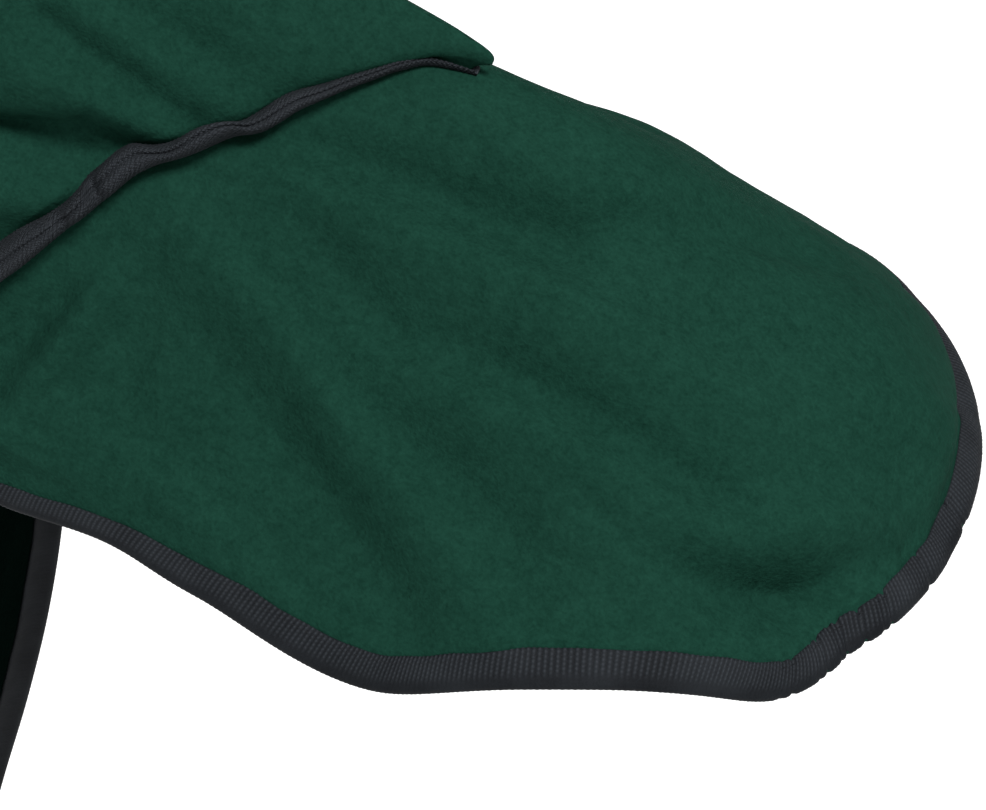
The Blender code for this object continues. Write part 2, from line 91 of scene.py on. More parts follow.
cloth = {
    "gap": 0.3,  # between pieces at a seam
    "foldFade": 1.4,  # how much lower a fold is at its ends
    "normalReach": 0.8,  # how far apart the cloth is read to find which way it faces
    "laySteps": 40,
}

back = {
    # slope of the middle of the back in degrees, at a length along it: (along, slope)
    "slopes": (
        (-150, 7),
        (-50, -2.5),
        (0, -5.5),
        (45, -10),
        (100, -23),
        (150, -21.5),
        (195, -43.5),
        (240, -60.5),
    ),
    "reach": (-230, 262),
    "rise": 4.5,  # the cloth's height over the wearer's withers
    "peakReach": 9,
    # cross sections: (along, length over which the cloth turns down, steepest slope, slope that it
    # has beside the middle)
    "sections": (
        (-130, 221, 77, 39),
        (-25, 193, 60.5, 38),
        (12, 237, 60, 33.5),
        (60, 233, 60, 21.5),
        (120, 225, 50.5, 15),
        (240, 216, 44.5, 0),
    ),
}

panel = {
    "rows": 232,
    "columns": 262,
    "innerStep": 3,
    "rearCorner": 8,  # the row of the hem table where the left rear corner is
    "hemPoints": 4000,
    "hemSamples": 90,
    "seamSpacing": 1.3,  # closer together near the withers
    # half of the cut edge, from the chest to the middle of the tail: (along, down)
    "hem": (
        (-144, 150),
        (-142, 170),
        (-131, 191.5),
        (-101.5, 195),
        (-57.5, 191),
        (-19, 194.5),
        (58.5, 197.5),
        (136, 154),
        (191, 127.5),
        (214, 88),
        (229.5, 43.5),
        (233, 0),
    ),
    # the neck seam from the withers to the chest: (down, along)
    "seam": (
        (0, 2),
        (3.5, -11),
        (9, -21),
        (16, -30),
        (23.5, -39),
        (31, -47.5),
        (44.5, -59.5),
        (55.5, -73),
        (65.5, -87.5),
        (77, -97.5),
        (93, -110),
        (103, -118),
        (113.5, -126),
        (127, -136),
        (150, -144),
    ),
    # what is left of the folds at the hem, and how far in the tape calms them
    "foldsLeft": 0.3,
    "calm": 22,
    "ripple": 0.22,
    # folds, down below zero on the left: (along, down, along, down, width, height), and then the
    # width below where that is another one
    "folds": (
        (-58, -57, 56, -60, 6.5, 7.4, 21),
        (56, -60, 128, -56, 9, 7.6, 22),
        (128, -56, 202, 0, 12, 4.4, 18),
        (-76, -76, 3, -121, 6.5, 7.4, 22),
        (3, -121, 92, -165, 6.5, 7.6, 21),
        (6, -102, 90, -101, 6.5, 6.4, 16),
        (88, -101, 150, -99, 7, 5.8, 13),
        (88, -118, 132, -124, 5, 3, 9),
        (130, -124, 162, -126, 5, 2.2, 8),
        (-6, -15, 42, -23, 6, 4.2, 10),
        (42, -23, 84, -9, 7, 4, 11),
        (-88, -113, -109, -170, 7, 5.4),
        (-86, -158, -38, -168, 7, 4.2, 12),
        (-38, -168, 8, -183, 7, 4.4, 12),
        (-125, -172, -50, -176, 9, 6),
        (-34, -43, 52, -43, 9, -5),
        (52, -38, 128, 20, 12, -6.6),
        (-46, -62, 6, -88, 9, -3),
        (6, -88, 140, -86, 8, -3),
        (-50, -112, 54, -172, 14, -6),
        (30, -118, 96, -140, 10, -2.6),
        (139, -112, 186, -92, 12, -10.5),
        (181, -94, 209, -56, 12, -9),
        (-122, -150, -102, -122, 9, -4.2),
        (-72, -100, -70, -140, 9, -3.6),
        (212, -62, 221, -20, 8, -3),
        (221, -20, 214, 52, 8, -3.4),
        (214, 52, 192, 104, 8, -3.4),
        (0, 72, 80, 68, 14, 1.4),
        (95, 56, 175, 46, 15, 1),
        (10, 102, 130, 106, 14, 2),
        (-66, 78, 15, 130, 12, 5),
        (25, 134, 90, 160, 13, 4.6),
        (-78, 158, 0, 180, 11, 4.2),
        (-96, 118, -110, 168, 9, 4),
        (-122, 172, -20, 180, 10, 5),
        (150, 110, 182, 86, 12, -5.6),
        (50, 134, 72, 172, 9, -3.8),
        (-30, 130, 56, 168, 12, -3.6),
        (-30, 52, 60, 48, 11, -2.6),
    ),
    # small creases that only the finished cloth has
    "creases": (
        (-67, -172, -49, -171, 4, -1.2),
        (-38, -50, -18, -42, 6, -0.8),
        (-64, -80, -38, -92, 6, -0.9),
        (-20, -74, 40, -78, 8, -0.8),
        (60, -84, 120, -82, 9, -0.9),
        (100, -132, 128, -118, 7, -0.9),
        (-86, -112, -72, -140, 7, -0.9),
        (150, -70, 190, -40, 9, -0.9),
        (110, -20, 150, 6, 10, -0.8),
        (-40, 70, -22, 84, 6, -0.8),
        (0, 84, 60, 88, 10, -0.9),
        (92, 70, 150, 62, 9, -0.8),
        (-84, 120, -66, 148, 7, -0.8),
        (104, 128, 132, 112, 7, -0.9),
        (148, -108, 182, -94, 7, -2.6),
    ),
    # the rear hem flares a little, whatever the tape calms
    "flares": (
        (154, -116, 204, -92, 10, -5.6),
        (140, -94, 200, -58, 9, 6.4, 20),
        (204, -84, 222, -30, 7, -1.6),
        (222, -30, 219, 40, 7, -3.4),
        (219, 40, 190, 104, 7, -4.6),
    ),
    # how much narrower the tape shows on the left side: (along, millimetres)
    "narrow": ((-144, 3.6), (-120, 4.4), (-80, 4.2), (-40, 2.6), (-10, 0.6), (20, 0)),
}

flap = {
    "rows": 150,
    "columns": 90,
    # down the middle, from the level of the front corners: (forward, drop, half width, curl)
    "shape": (
        (0, 0, 88, 0),
        (13, 30, 82, 1),
        (16, 62, 70, 1),
        (4, 98, 60, 2),
        (-15, 135, 53, 2),
        (-22, 175, 50, 1),
        (-25, 220, 49, 1),
        (-25, 270, 49, 1),
        (-24, 320, 50, 0),
        (-23, 366, 50, 0),
    ),
    "chestDrop": 58,
    "corner": 0.86,
    "end": 30,
    # its bound edges roll to the rear: over this width, this far back and this far in
    "roll": (16, 9, 4.5),
    "rollFrom": (20, 40),  # where the roll starts, and over what length it grows
    "calm": (25, 12),  # how far from the chest seam and from the sides the creases fade
    "ripple": 0.3,
    "widening": 3.2,  # how fast it takes its full width below the seam
    "seamGaps": 1.5,
    # (down, across, down, across, width, height)
    "creases": (
        (60, -50, 190, -16, 9, -1.4),
        (70, 44, 170, 20, 8, -1.2),
        (150, 26, 330, 34, 10, 1.0),
        (210, -30, 380, -22, 11, -1.1),
        (250, 8, 400, 2, 10, 0.9),
        (95, -6, 150, 4, 13, 1.3),
    ),
}

neck = {
    "rows": 150,
    "spacing": 1.5,
    "chestSteps": 84,
    "openingTop": (-187, 64),
    "openingBottom": (-246, -50),
    "openingHalfWidth": 54,
    # the crest bulges up and back over the seam, in degrees round and in parts of the length
    "crestTurn": 42,
    "crestLift": 11,
    "crestLiftReach": 0.07,
    "crestBack": 15,
    "crestBackAt": 0.06,
    "crestBackReach": 0.05,
    "crestBackStart": 0.04,
    "calm": (0.05, 0.1),  # how far from the seam and from the opening the folds fade
    "seamGaps": 1.2,
    "seamBlend": 0.0045,
    "ripple": 0.25,
    "rippleScale": (180, 1.5),
    # (length, turn, length, turn, width, height), turn in degrees, below zero on the left
    "folds": (
        (0.03, -56, 0.45, -64, 0.07, 3.2),
        (0.03, -44, 0.5, -49, 0.06, 3),
        (0.02, -26, 0.6, -34, 0.12, 2.2),
        (0.02, -66, 0.3, -84, 0.055, -6.5),
        (0.02, -81, 0.3, -98, 0.07, 4),
        (0.02, -102, 0.5, -118, 0.12, -4.5),
        (0.45, -125, 0.95, -120, 0.13, 3.5),
        (0.45, -84, 0.95, -88, 0.12, 3),
        (0.04, 86, 0.55, 108, 0.12, -4.5),
        (0.05, 62, 0.5, 70, 0.09, 3.2),
        (0.35, 36, 0.95, 40, 0.12, 3),
        (0.03, 46, 0.4, 50, 0.07, 2.4),
        (0.4, 130, 0.95, 138, 0.13, 3.5),
        (0.5, 82, 0.95, 86, 0.12, 2.5),
        (0.05, -64, 0.16, -66, 0.022, -4.5),
        (0.15, -67, 0.36, -90, 0.028, -5),
        (0.05, -57, 0.36, -68, 0.03, 5, 0.08),
        (0.1, -70, 0.38, -90, 0.06, -3),
        (0.03, -77, 0.36, -101, 0.045, 3.6, 0.09),
        (0.03, -50, 0.42, -56, 0.045, -2.4),
        (0.03, -46, 0.45, -50, 0.03, 2.4, 0.06),
        (0.03, -38, 0.4, -42, 0.05, -2.6),
    ),
}


# reads a table of (place, value) rows, or of more values, as a smooth curve
def smooth(rows, at):
    table = np.array(rows, float)
    x, y = table[:, 0], table[:, 1:]
    slopes = np.gradient(y, x, axis=0)
    at = np.clip(np.asarray(at, float), x[0], x[-1])
    k = np.clip(np.searchsorted(x, at, side="right") - 1, 0, len(x) - 2)
    step = x[k + 1] - x[k]
    q = ((at - x[k]) / step)[..., None]
    step = step[..., None]
    value = (
        y[k] * (1 + 2 * q) * (1 - q) ** 2
        + slopes[k] * step * q * (1 - q) ** 2
        + y[k + 1] * q * q * (3 - 2 * q)
        + slopes[k + 1] * step * q * q * (q - 1)
    )
    return value[..., 0] if value.shape[-1] == 1 else value


def evenly(points, count):
    run = np.concatenate([[0], np.cumsum(np.linalg.norm(np.diff(points, axis=0), axis=1))])
    want = np.linspace(0, run[-1], count)
    return np.column_stack([np.interp(want, run, column) for column in points.T])


def unit(v):
    return v / np.maximum(np.linalg.norm(v, axis=-1, keepdims=True), 1e-12)


def surfaceNormals(function, a, b, step=cloth["normalReach"]):
    acrossA = function(a + step, b) - function(a - step, b)
    acrossB = function(a, b + step) - function(a, b - step)
    return unit(np.cross(acrossA, acrossB))


def foldHeight(rows, a, b):
    total = np.zeros(np.shape(a))
    for a1, b1, a2, b2, width, height, *below in rows:
        da, db = a2 - a1, b2 - b1
        q = ((a - a1) * da + (b - b1) * db) / (da * da + db * db)
        near = np.clip(q, 0, 1)
        away = np.hypot(a - a1 - near * da, b - b1 - near * db)
        above = (da * (b - b1) - db * (a - a1)) / math.hypot(da, db) / np.maximum(away, 1e-9)
        reach = width + ((below or [width])[0] - width) * (1 - np.clip(above, -1, 1)) / 2
        fade = np.exp(-((cloth["foldFade"] * (near - 0.5)) ** 2))
        total = total + height * np.exp(-((away / reach) ** 2)) * fade
    return total


backAlong = np.arange(*back["reach"], 1.0)
backSlope = np.radians(smooth(back["slopes"], backAlong))
backX = np.cumsum(np.cos(backSlope))
backZ = np.cumsum(np.sin(backSlope))
backX -= np.interp(0, backAlong, backX)
backZ -= np.interp(0, backAlong, backZ) - back["rise"]


# the place of a point of the cloth, laid over the wearer without folds
def lay(along, down):
    along, down = np.broadcast_arrays(np.asarray(along, float), np.asarray(down, float))
    turn, steepest, peak = np.moveaxis(smooth(back["sections"], along), -1, 0)
    steps = cloth["laySteps"]
    part = np.linspace(0, 1, steps + 1)
    reach = np.abs(down)[..., None] * part
    bend = np.sin(np.clip(reach / turn[..., None], 0, 1) * math.pi / 2)
    first = 1 - np.exp(-reach / back["peakReach"])
    angle = np.radians(peak)[..., None] * first + np.radians(steepest - peak)[..., None] * bend
    step = np.abs(down) / steps
    out = (np.cos(angle[..., 1:]) + np.cos(angle[..., :-1])).sum(-1) * step / 2
    drop = (np.sin(angle[..., 1:]) + np.sin(angle[..., :-1])).sum(-1) * step / 2
    lean = np.interp(along, backAlong, backSlope) / 2
    x = np.interp(along, backAlong, backX) + drop * np.sin(lean)
    z = np.interp(along, backAlong, backZ) - drop * np.cos(lean)
    return np.stack([x, np.sign(down) * out, z], -1)


def hemLine(first, last, count):
    half = np.array(panel["hem"], float)
    whole = np.concatenate([half * (1, -1), half[::-1][1:]])
    order = np.arange(len(whole), dtype=float)
    fine = smooth(np.column_stack([order, whole]), np.linspace(first, last, panel["hemPoints"]))
    return evenly(fine, count)


hemSamples = hemLine(0, len(panel["hem"]) - 1, panel["hemSamples"])


# how far in from the cut edge a point of the panel is
def fromHem(along, down):
    nearest = np.full(np.shape(along), 1e9)
    for a, d in hemSamples:
        nearest = np.minimum(nearest, np.hypot(along - a, -np.abs(down) - d))
    return nearest


# how much narrower the hem tape shows there
def narrower(along, down):
    return smooth(panel["narrow"], along) * (down < 0)


# a slight unevenness of the cloth, never the same twice, and the same on each run
def ripple(a, b, height):
    waves = np.sin(a / 11 + 1.3 * np.sin(b / 17)) * np.sin(b / 13 + 1.1 * np.sin(a / 19))
    small = np.sin(a / 4.1 + 2 * np.sin(b / 7)) * np.sin(b / 3.7 + 2 * np.sin(a / 9))
    return height * (waves + 0.35 * small)


def folded(along, down):
    along, down = np.broadcast_arrays(np.asarray(along, float), np.asarray(down, float))
    calm = 1 - (1 - panel["foldsLeft"]) * np.exp(-((fromHem(along, down) / panel["calm"]) ** 2))
    away = foldHeight(panel["folds"] + panel["creases"], along, down)
    away = (away + ripple(along, down, panel["ripple"])) * calm
    away = away + foldHeight(panel["flares"], along, down)
    return lay(along, down) + surfaceNormals(lay, along, down, 1.0) * away[..., None]


# points of the panel, moved out from the cloth's middle
def bodySurface(along, down, out):
    normals = surfaceNormals(folded, along, down)
    return folded(along, down) + normals * np.asarray(out, float)[..., None]


def seamOnPanel(count):
    reach = panel["seam"][-1][0]
    part = np.linspace(-1, 1, count)
    down = reach * np.sign(part) * np.abs(part) ** panel["seamSpacing"]
    return np.column_stack([smooth(panel["seam"], np.abs(down)), down])


# fills the panel with a grid from its four edges: (along, down) of each point
def panelLayout(rows, columns):
    last = 2 * (len(panel["hem"]) - 1)
    corner = panel["rearCorner"]
    u = np.linspace(0, 1, rows)[:, None, None]
    v = np.linspace(0, 1, columns)[None, :, None]
    front = seamOnPanel(columns)[None]
    rear = hemLine(corner, last - corner, columns)[None]
    left = hemLine(0, corner, rows)[:, None]
    right = left * (1, -1)
    ruled = (1 - u) * front + u * rear + (1 - v) * left + v * right
    frontCorners = (1 - v) * front[:, :1] + v * front[:, -1:]
    rearCorners = (1 - v) * rear[:, :1] + v * rear[:, -1:]
    return ruled - (1 - u) * frontCorners - u * rearCorners


flapTable = np.array(flap["shape"], float)
flapRun = np.concatenate([[0], np.cumsum(np.hypot(*np.diff(flapTable[:, :2], axis=0).T))])
frontCorner = lay(np.array(float(panel["hem"][0][0])), np.array(float(panel["hem"][0][1])))


def flapMiddle(down, across):
    down, across = np.broadcast_arrays(np.asarray(down, float), np.asarray(across, float))
    shape = smooth(np.column_stack([flapRun, flapTable]), down)
    forward, drop, half, curl = np.moveaxis(shape, -1, 0)
    width, behind, inside = flap["roll"]
    start, growth = flap["rollFrom"]
    rolled = np.clip((np.abs(across) - half + width) / width, 0, 1.3) ** 2
    rolled = rolled * np.clip((down - start) / growth, 0, 1)
    x = frontCorner[0] - forward + curl * (across / half) ** 2 + behind * rolled
    z = frontCorner[2] - drop - np.minimum(down, 0)
    return np.stack([x, across - np.sign(across) * inside * rolled, z], -1)


def flapFolded(down, across):
    down, across = np.broadcast_arrays(np.asarray(down, float), np.asarray(across, float))
    top, side = flap["calm"]
    calm = np.clip((down - chestEdge(across)) / top, 0, 1)
    calm = calm * np.clip((flapHalf(down) - np.abs(across)) / side, 0, 1)
    away = foldHeight(flap["creases"], down, across) + ripple(down, across, flap["ripple"])
    middle = flapMiddle(down, across)
    return middle - surfaceNormals(flapMiddle, down, across) * (away * calm)[..., None]


def flapHalf(down):
    return smooth(np.column_stack([flapRun, flapTable[:, 2]]), down)


def flapSurface(down, across, out):
    normal = -surfaceNormals(flapFolded, down, across)
    return flapFolded(down, across) + normal * np.asarray(out, float)[..., None]


# how far down the flap's middle the chest seam is
def chestEdge(across):
    q = np.asarray(across, float) / abs(frontCorner[1])
    return flap["chestDrop"] * np.sqrt(np.maximum(1 - q * q, 0))


def chestAcross(count):
    return frontCorner[1] * np.cos(np.linspace(0, math.pi, count + 2)[1:-1])


def flapLayout(rows, columns):
    v = np.sin(np.linspace(-math.pi / 2, math.pi / 2, columns))
    topAcross = v * frontCorner[1] * flap["corner"]
    top = chestEdge(topAcross) + cloth["gap"] * flap["seamGaps"]
    bottom = flapRun[-1] - flap["end"] * (1 - np.sqrt(np.maximum(1 - v * v, 0)))
    u = np.linspace(0, 1, rows)[:, None]
    down = top + (bottom - top) * u
    blend = np.clip(u * flap["widening"], 0, 1)
    across = topAcross * (1 - blend) + v * flapHalf(down) * blend
    return np.stack([down, across], -1)


# the neck seam's middle points all round, and their outward directions
def seamRing(columns, steps):
    places = seamOnPanel(columns)
    over = folded(places[:, 0], places[:, 1])
    out = surfaceNormals(folded, places[:, 0], places[:, 1])
    across = chestAcross(steps)
    chest = flapMiddle(chestEdge(across), across)
    chestOut = -surfaceNormals(flapMiddle, chestEdge(across), across)
    return np.concatenate([over, chest]), np.concatenate([out, chestOut])


def ringForward(ring, ringOut):
    return unit(np.cross(ringOut, np.roll(ring, -1, 0) - np.roll(ring, 1, 0)))


# how far round the ring each point is in degrees, 0 at the crest and below zero on the left
def turnRound(ring, columns):
    step = np.linalg.norm(np.roll(ring, -1, 0) - ring, axis=1)
    run = np.concatenate([[0], np.cumsum(step)[:-1]])
    start = np.interp(columns / 2 - 0.5, np.arange(len(ring)), run)
    return ((run - start) / step.sum() * 360 + 180) % 360 - 180


def openingPoint(turn):
    top = np.array([neck["openingTop"][0], 0, neck["openingTop"][1]], float)
    bottom = np.array([neck["openingBottom"][0], 0, neck["openingBottom"][1]], float)
    angle = np.radians(turn)[..., None]
    side = np.array([0, neck["openingHalfWidth"], 0.0])
    return (top + bottom) / 2 + (top - bottom) / 2 * np.cos(angle) + side * np.sin(angle)


def gridNormals(grid):
    return unit(np.cross(np.roll(grid, -1, 1) - np.roll(grid, 1, 1), np.gradient(grid, axis=0)))


# the neck piece's middle and outward normals at parts of its length, 0 at the seam
def neckGrid(lengths, columns, steps):
    ring, ringOut = seamRing(columns, steps)
    turn = turnRound(ring, columns)
    start = ring + ringForward(ring, ringOut) * cloth["gap"] * neck["seamGaps"]
    rings = np.broadcast_to(start, (len(lengths), *start.shape))
    lengths = np.broadcast_to(lengths[:, None], rings.shape[:2])
    turns = np.broadcast_to(turn, rings.shape[:2])
    q = lengths[..., None]
    crest = np.exp(-((turns / neck["crestTurn"]) ** 2))[..., None]
    lift = np.array([0, 0, neck["crestLift"]]) * (1 - np.exp(-q / neck["crestLiftReach"])) * (1 - q)
    backwards = np.exp(-(((q - neck["crestBackAt"]) / neck["crestBackReach"]) ** 2))
    backwards = np.array([neck["crestBack"], 0, 0]) * backwards
    backwards = backwards * np.clip(q / neck["crestBackStart"], 0, 1)
    plain = rings * (1 - q) + openingPoint(turns) * q + crest * (lift + backwards)
    # folds read the turn in hundreds of degrees, which are about as long as the length's parts
    scaled = [(a, b / 100, c, d / 100, *rest) for a, b, c, d, *rest in neck["folds"]]
    seamCalm, openingCalm = neck["calm"]
    fade = np.clip(lengths / seamCalm, 0, 1) * np.clip((1 - lengths) / openingCalm, 0, 1)
    alongScale, turnScale = neck["rippleScale"]
    away = foldHeight(scaled, lengths, turns / 100)
    away = away + ripple(lengths * alongScale, turns * turnScale, neck["ripple"])
    middle = plain + gridNormals(plain) * (away * fade)[..., None]
    normal = gridNormals(middle)
    blend = np.clip(lengths / neck["seamBlend"], 0, 1)[..., None]
    return middle, unit(normal * blend + ringOut * (1 - blend)), turn


print("cloth: shapes ready")


# Meshes

# a mesh in metres from points in millimetres, with its point values and its UV map
def meshObject(name, points, faces, look, values=None, uv=None):
    mesh = bpy.data.meshes.new(name)
    mesh.from_pydata((points * mm).tolist(), [], faces)
    for key, value in (values or {}).items():
        layer = mesh.attributes.new(key, "FLOAT", "POINT")
        layer.data.foreach_set("value", np.asarray(value, np.float32).ravel())
    if uv is not None:
        corner = np.zeros(len(mesh.loops), np.int32)
        mesh.loops.foreach_get("vertex_index", corner)
        layer = mesh.uv_layers.new(name="clothUV")
        layer.data.foreach_set("uv", np.asarray(uv, np.float32).reshape(-1, 2)[corner].ravel())
    turned = bmesh.new()
    turned.from_mesh(mesh)
    bmesh.ops.recalc_face_normals(turned, faces=turned.faces)
    turned.to_mesh(mesh)
    turned.free()
    mesh.shade_smooth()
    mesh.materials.append(look)
    made = bpy.data.objects.new(name, mesh)
    bpy.context.scene.collection.objects.link(made)
    return made


def gridFaces(rows, columns, start, ring, flip):
    across = columns if ring else columns - 1
    r, c = (n.ravel() for n in np.meshgrid(np.arange(rows - 1), np.arange(across), indexing="ij"))
    after = (c + 1) % columns
    here, below = r * columns, (r + 1) * columns
    corners = [here + c, here + after, below + after, below + c]
    return (np.stack(corners[::-1] if flip else corners, 1) + start).tolist()


# a thin closed shell: a fine outer face and a coarser inner one, joined round the rims
def clothShell(name, outer, inner, look, ring=False):
    rows, columns = outer.shape[:2]
    innerRows, innerColumns = inner.shape[:2]
    start = rows * columns
    faces = gridFaces(rows, columns, 0, ring, False)
    faces += gridFaces(innerRows, innerColumns, start, ring, True)

    # fans the finer rim onto the coarser one
    def rim(outerIds, innerIds):
        last = 0
        for i in range(1, len(outerIds)):
            j = round(i * (len(innerIds) - 1) / (len(outerIds) - 1))
            if j > last:
                faces.append((outerIds[i - 1], innerIds[last], innerIds[j], outerIds[i]))
                last = j
            else:
                faces.append((outerIds[i - 1], innerIds[last], outerIds[i]))

    def row(r, offset, size):
        ids = [offset + r * size + c for c in range(size)]
        return ids + ids[:1] if ring else ids

    rim(row(0, 0, columns), row(0, start, innerColumns))
    rim(row(rows - 1, 0, columns), row(innerRows - 1, start, innerColumns))
    if not ring:
        for end, innerEnd in ((0, 0), (columns - 1, innerColumns - 1)):
            rim(
                [r * columns + end for r in range(rows)],
                [start + r * innerColumns + innerEnd for r in range(innerRows)],
            )
    points = np.concatenate([outer.reshape(-1, 3), inner.reshape(-1, 3)])
    return meshObject(name, points, faces, look)


# a closed strip through a row of closed sections
def sweptStrip(name, sections, look, values, uv, ring=False):
    count, around = sections.shape[:2]
    i, k = np.meshgrid(np.arange(count if ring else count - 1), np.arange(around), indexing="ij")
    i, k = i.ravel(), k.ravel()
    j, m = (i + 1) % count, (k + 1) % around
    faces = np.stack([i * around + k, i * around + m, j * around + m, j * around + k], 1).tolist()
    if not ring:
        faces.append(list(range(around))[::-1])
        faces.append([(count - 1) * around + n for n in range(around)])
    return meshObject(name, sections.reshape(-1, 3), faces, look, values, uv)


# Node trees, for geometry and for materials alike

# a node socket that can be written in sums
class Sock:
    def __init__(self, tree, socket):
        self.tree, self.socket = tree, socket

    def math(self, operation, *values):
        node = self.tree.nodes.new("ShaderNodeMath")
        node.operation = operation
        for place, value in zip(node.inputs, values):
            if isinstance(value, Sock):
                self.tree.links.new(value.socket, place)
            else:
                place.default_value = value
        return Sock(self.tree, node.outputs[0])

    def __add__(self, other):
        return self.math("ADD", self, other)

    def __sub__(self, other):
        return self.math("SUBTRACT", self, other)

    def __mul__(self, other):
        return self.math("MULTIPLY", self, other)

    def __truediv__(self, other):
        return self.math("DIVIDE", self, other)

    def __radd__(self, other):
        return self.math("ADD", other, self)

    def __rsub__(self, other):
        return self.math("SUBTRACT", other, self)

    def __rmul__(self, other):
        return self.math("MULTIPLY", other, self)

    # a smooth wave from 0 to 1, once for each whole number
    def wave(self):
        turn = self * (2 * math.pi)
        return turn.math("SINE", turn) * 0.5 + 0.5

    def power(self, other):
        return self.math("POWER", self, other)

    def floor(self):
        return self.math("FLOOR", self)

    def sign(self):
        return self.math("SIGN", self)

    def limited(self):
        return self.math("MINIMUM", self.math("MAXIMUM", self, 0.0), 1.0)


# adds nodes to a tree: settings first, then the values or links of the sockets
class NodeMaker:
    def __init__(self, tree):
        self.tree = tree

    def add(self, kind, settings=None, links=None):
        node = self.tree.nodes.new(kind)
        for key, value in (settings or {}).items():
            setattr(node, key, value)
        for key, value in (links or {}).items():
            value = value.socket if isinstance(value, Sock) else value
            if isinstance(value, bpy.types.NodeSocket):
                self.tree.links.new(value, node.inputs[key])
            else:
                node.inputs[key].default_value = value
        return node

    def sock(self, node, output=0):
        return Sock(self.tree, node.outputs[output])


# a geometry tree with its named inputs, each at its usual size
def geometryMaker(name, inputs):
    tree = bpy.data.node_groups.new(name, "GeometryNodeTree")
    face = tree.interface
    face.new_socket("Geometry", in_out="INPUT", socket_type="NodeSocketGeometry")
    for label, value in inputs.items():
        kind = "NodeSocketInt" if isinstance(value, int) else "NodeSocketFloat"
        face.new_socket(label, in_out="INPUT", socket_type=kind).default_value = value
    face.new_socket("Geometry", in_out="OUTPUT", socket_type="NodeSocketGeometry")
    made = NodeMaker(tree)
    given = made.add("NodeGroupInput")
    return made, [made.sock(given, n) for n in range(len(inputs) + 1)]


# every tree ends in plain geometry with its material
def endTree(made, geometry, look):
    plain = made.add("GeometryNodeRealizeInstances", None, {"Geometry": geometry})
    links = {"Geometry": plain.outputs[0], "Material": look}
    dressed = made.add("GeometryNodeSetMaterial", None, links)
    end = made.add("NodeGroupOutput")
    made.tree.links.new(dressed.outputs[0], end.inputs[0])
    return made.tree


ribSizes = {"Rib Pitch": 1.95, "Rib Height": 0.26, "Knot Pitch": 1.7, "Lean": 0.16}
pieceSizes = {"Length": 2.1, "Width": 0.4, "Height": 0.3, "Unevenness": 0.15, "Seed": 3}


def scaledVector(made, vector, factor):
    links = {"Vector": vector, "Scale": factor}
    return made.add("ShaderNodeVectorMath", {"operation": "SCALE"}, links).outputs["Vector"]


# woven ribs on a smooth tape, which moves out along its normal by its run along the tape
def ribTree(look):
    made, (cloth, pitch, height, knot, lean) = geometryMaker("wovenRibs", ribSizes)

    def named(key):
        return made.sock(made.add("GeometryNodeInputNamedAttribute", None, {"Name": key}))

    turns = (named("run") + named("reach") * lean) / pitch
    knots = (named("reach") / knot + turns.floor() * 0.5).wave() * 0.4 + 0.6
    away = turns.wave().power(0.8) * knots * named("ribbed") * height * mm
    normal = made.add("GeometryNodeInputNormal").outputs[0]
    scaled = scaledVector(made, normal, away)
    moved = made.add("GeometryNodeSetPosition", None, {"Geometry": cloth, "Offset": scaled})
    return endTree(made, moved.outputs[0], look)


# small rounded pieces, such as stitches, one at each point and turned along its aim
def pieceTree(look):
    made, (points, length, width, height, uneven, seed) = geometryMaker("smallPieces", pieceSizes)

    def direction(key):
        kind = {"data_type": "FLOAT_VECTOR"}
        return made.add("GeometryNodeInputNamedAttribute", kind, {"Name": key}).outputs[0]

    form = {"Segments": 6, "Rings": 4, "Radius": 0.5 * mm}
    ball = made.add("GeometryNodeMeshUVSphere", None, form)
    turned = made.add(
        "FunctionNodeAxesToRotation",
        {"primary_axis": "X", "secondary_axis": "Z"},
        {"Primary Axis": direction("aim"), "Secondary Axis": direction("out")},
    )
    spread = made.add("FunctionNodeRandomValue", {"data_type": "FLOAT"}, {"Seed": seed})
    low, high = (s for s in spread.inputs if s.enabled and s.name in ("Min", "Max"))
    made.tree.links.new((1.0 - uneven).socket, low)
    made.tree.links.new((1.0 + uneven).socket, high)
    number = next(s for s in spread.outputs if s.enabled)
    size = made.add("ShaderNodeCombineXYZ", None, {"X": length, "Y": width, "Z": height})
    links = {
        "Points": points,
        "Instance": ball.outputs[0],
        "Rotation": turned.outputs[0],
        "Scale": scaledVector(made, size.outputs[0], number),
    }
    placed = made.add("GeometryNodeInstanceOnPoints", None, links)
    return endTree(made, placed.outputs[0], look)


# runs a tree on an object and keeps the result as a plain mesh
def applyTree(target, tree, sizes):
    modifier = target.modifiers.new("shape", "NODES")
    modifier.node_group = tree
    for item in tree.interface.items_tree:
        if item.in_out == "INPUT" and item.name in sizes:
            modifier[item.identifier] = sizes[item.name]
    graph = bpy.context.evaluated_depsgraph_get()
    mesh = bpy.data.meshes.new_from_object(target.evaluated_get(graph))
    old = target.data
    target.modifiers.remove(modifier)
    target.data = mesh
    bpy.data.meshes.remove(old)
    mesh.name = target.name
    mesh.shade_smooth()
    return target


# Materials

# a material's tree and shader; what is the same all over stays on the shader's own sockets
def startMaterial(name, look):
    made = bpy.data.materials.new(name)
    made.use_nodes = True
    made.node_tree.nodes.clear()
    tree = NodeMaker(made.node_tree)
    constants = {
        "Roughness": look["roughness"],
        "Sheen Weight": look["sheen"],
        "Sheen Roughness": look["sheenRoughness"],
        "Specular IOR Level": look["specular"],
    }
    shader = tree.add("ShaderNodeBsdfPrincipled", None, constants)
    end = tree.add("ShaderNodeOutputMaterial")
    tree.tree.links.new(shader.outputs[0], end.inputs["Surface"])
    return made, tree, shader


def noise(tree, where, scale, detail, roughness=0.5):
    links = {"Vector": where, "Scale": scale, "Detail": detail, "Roughness": roughness}
    return tree.sock(tree.add("ShaderNodeTexNoise", {"noise_dimensions": "3D"}, links))


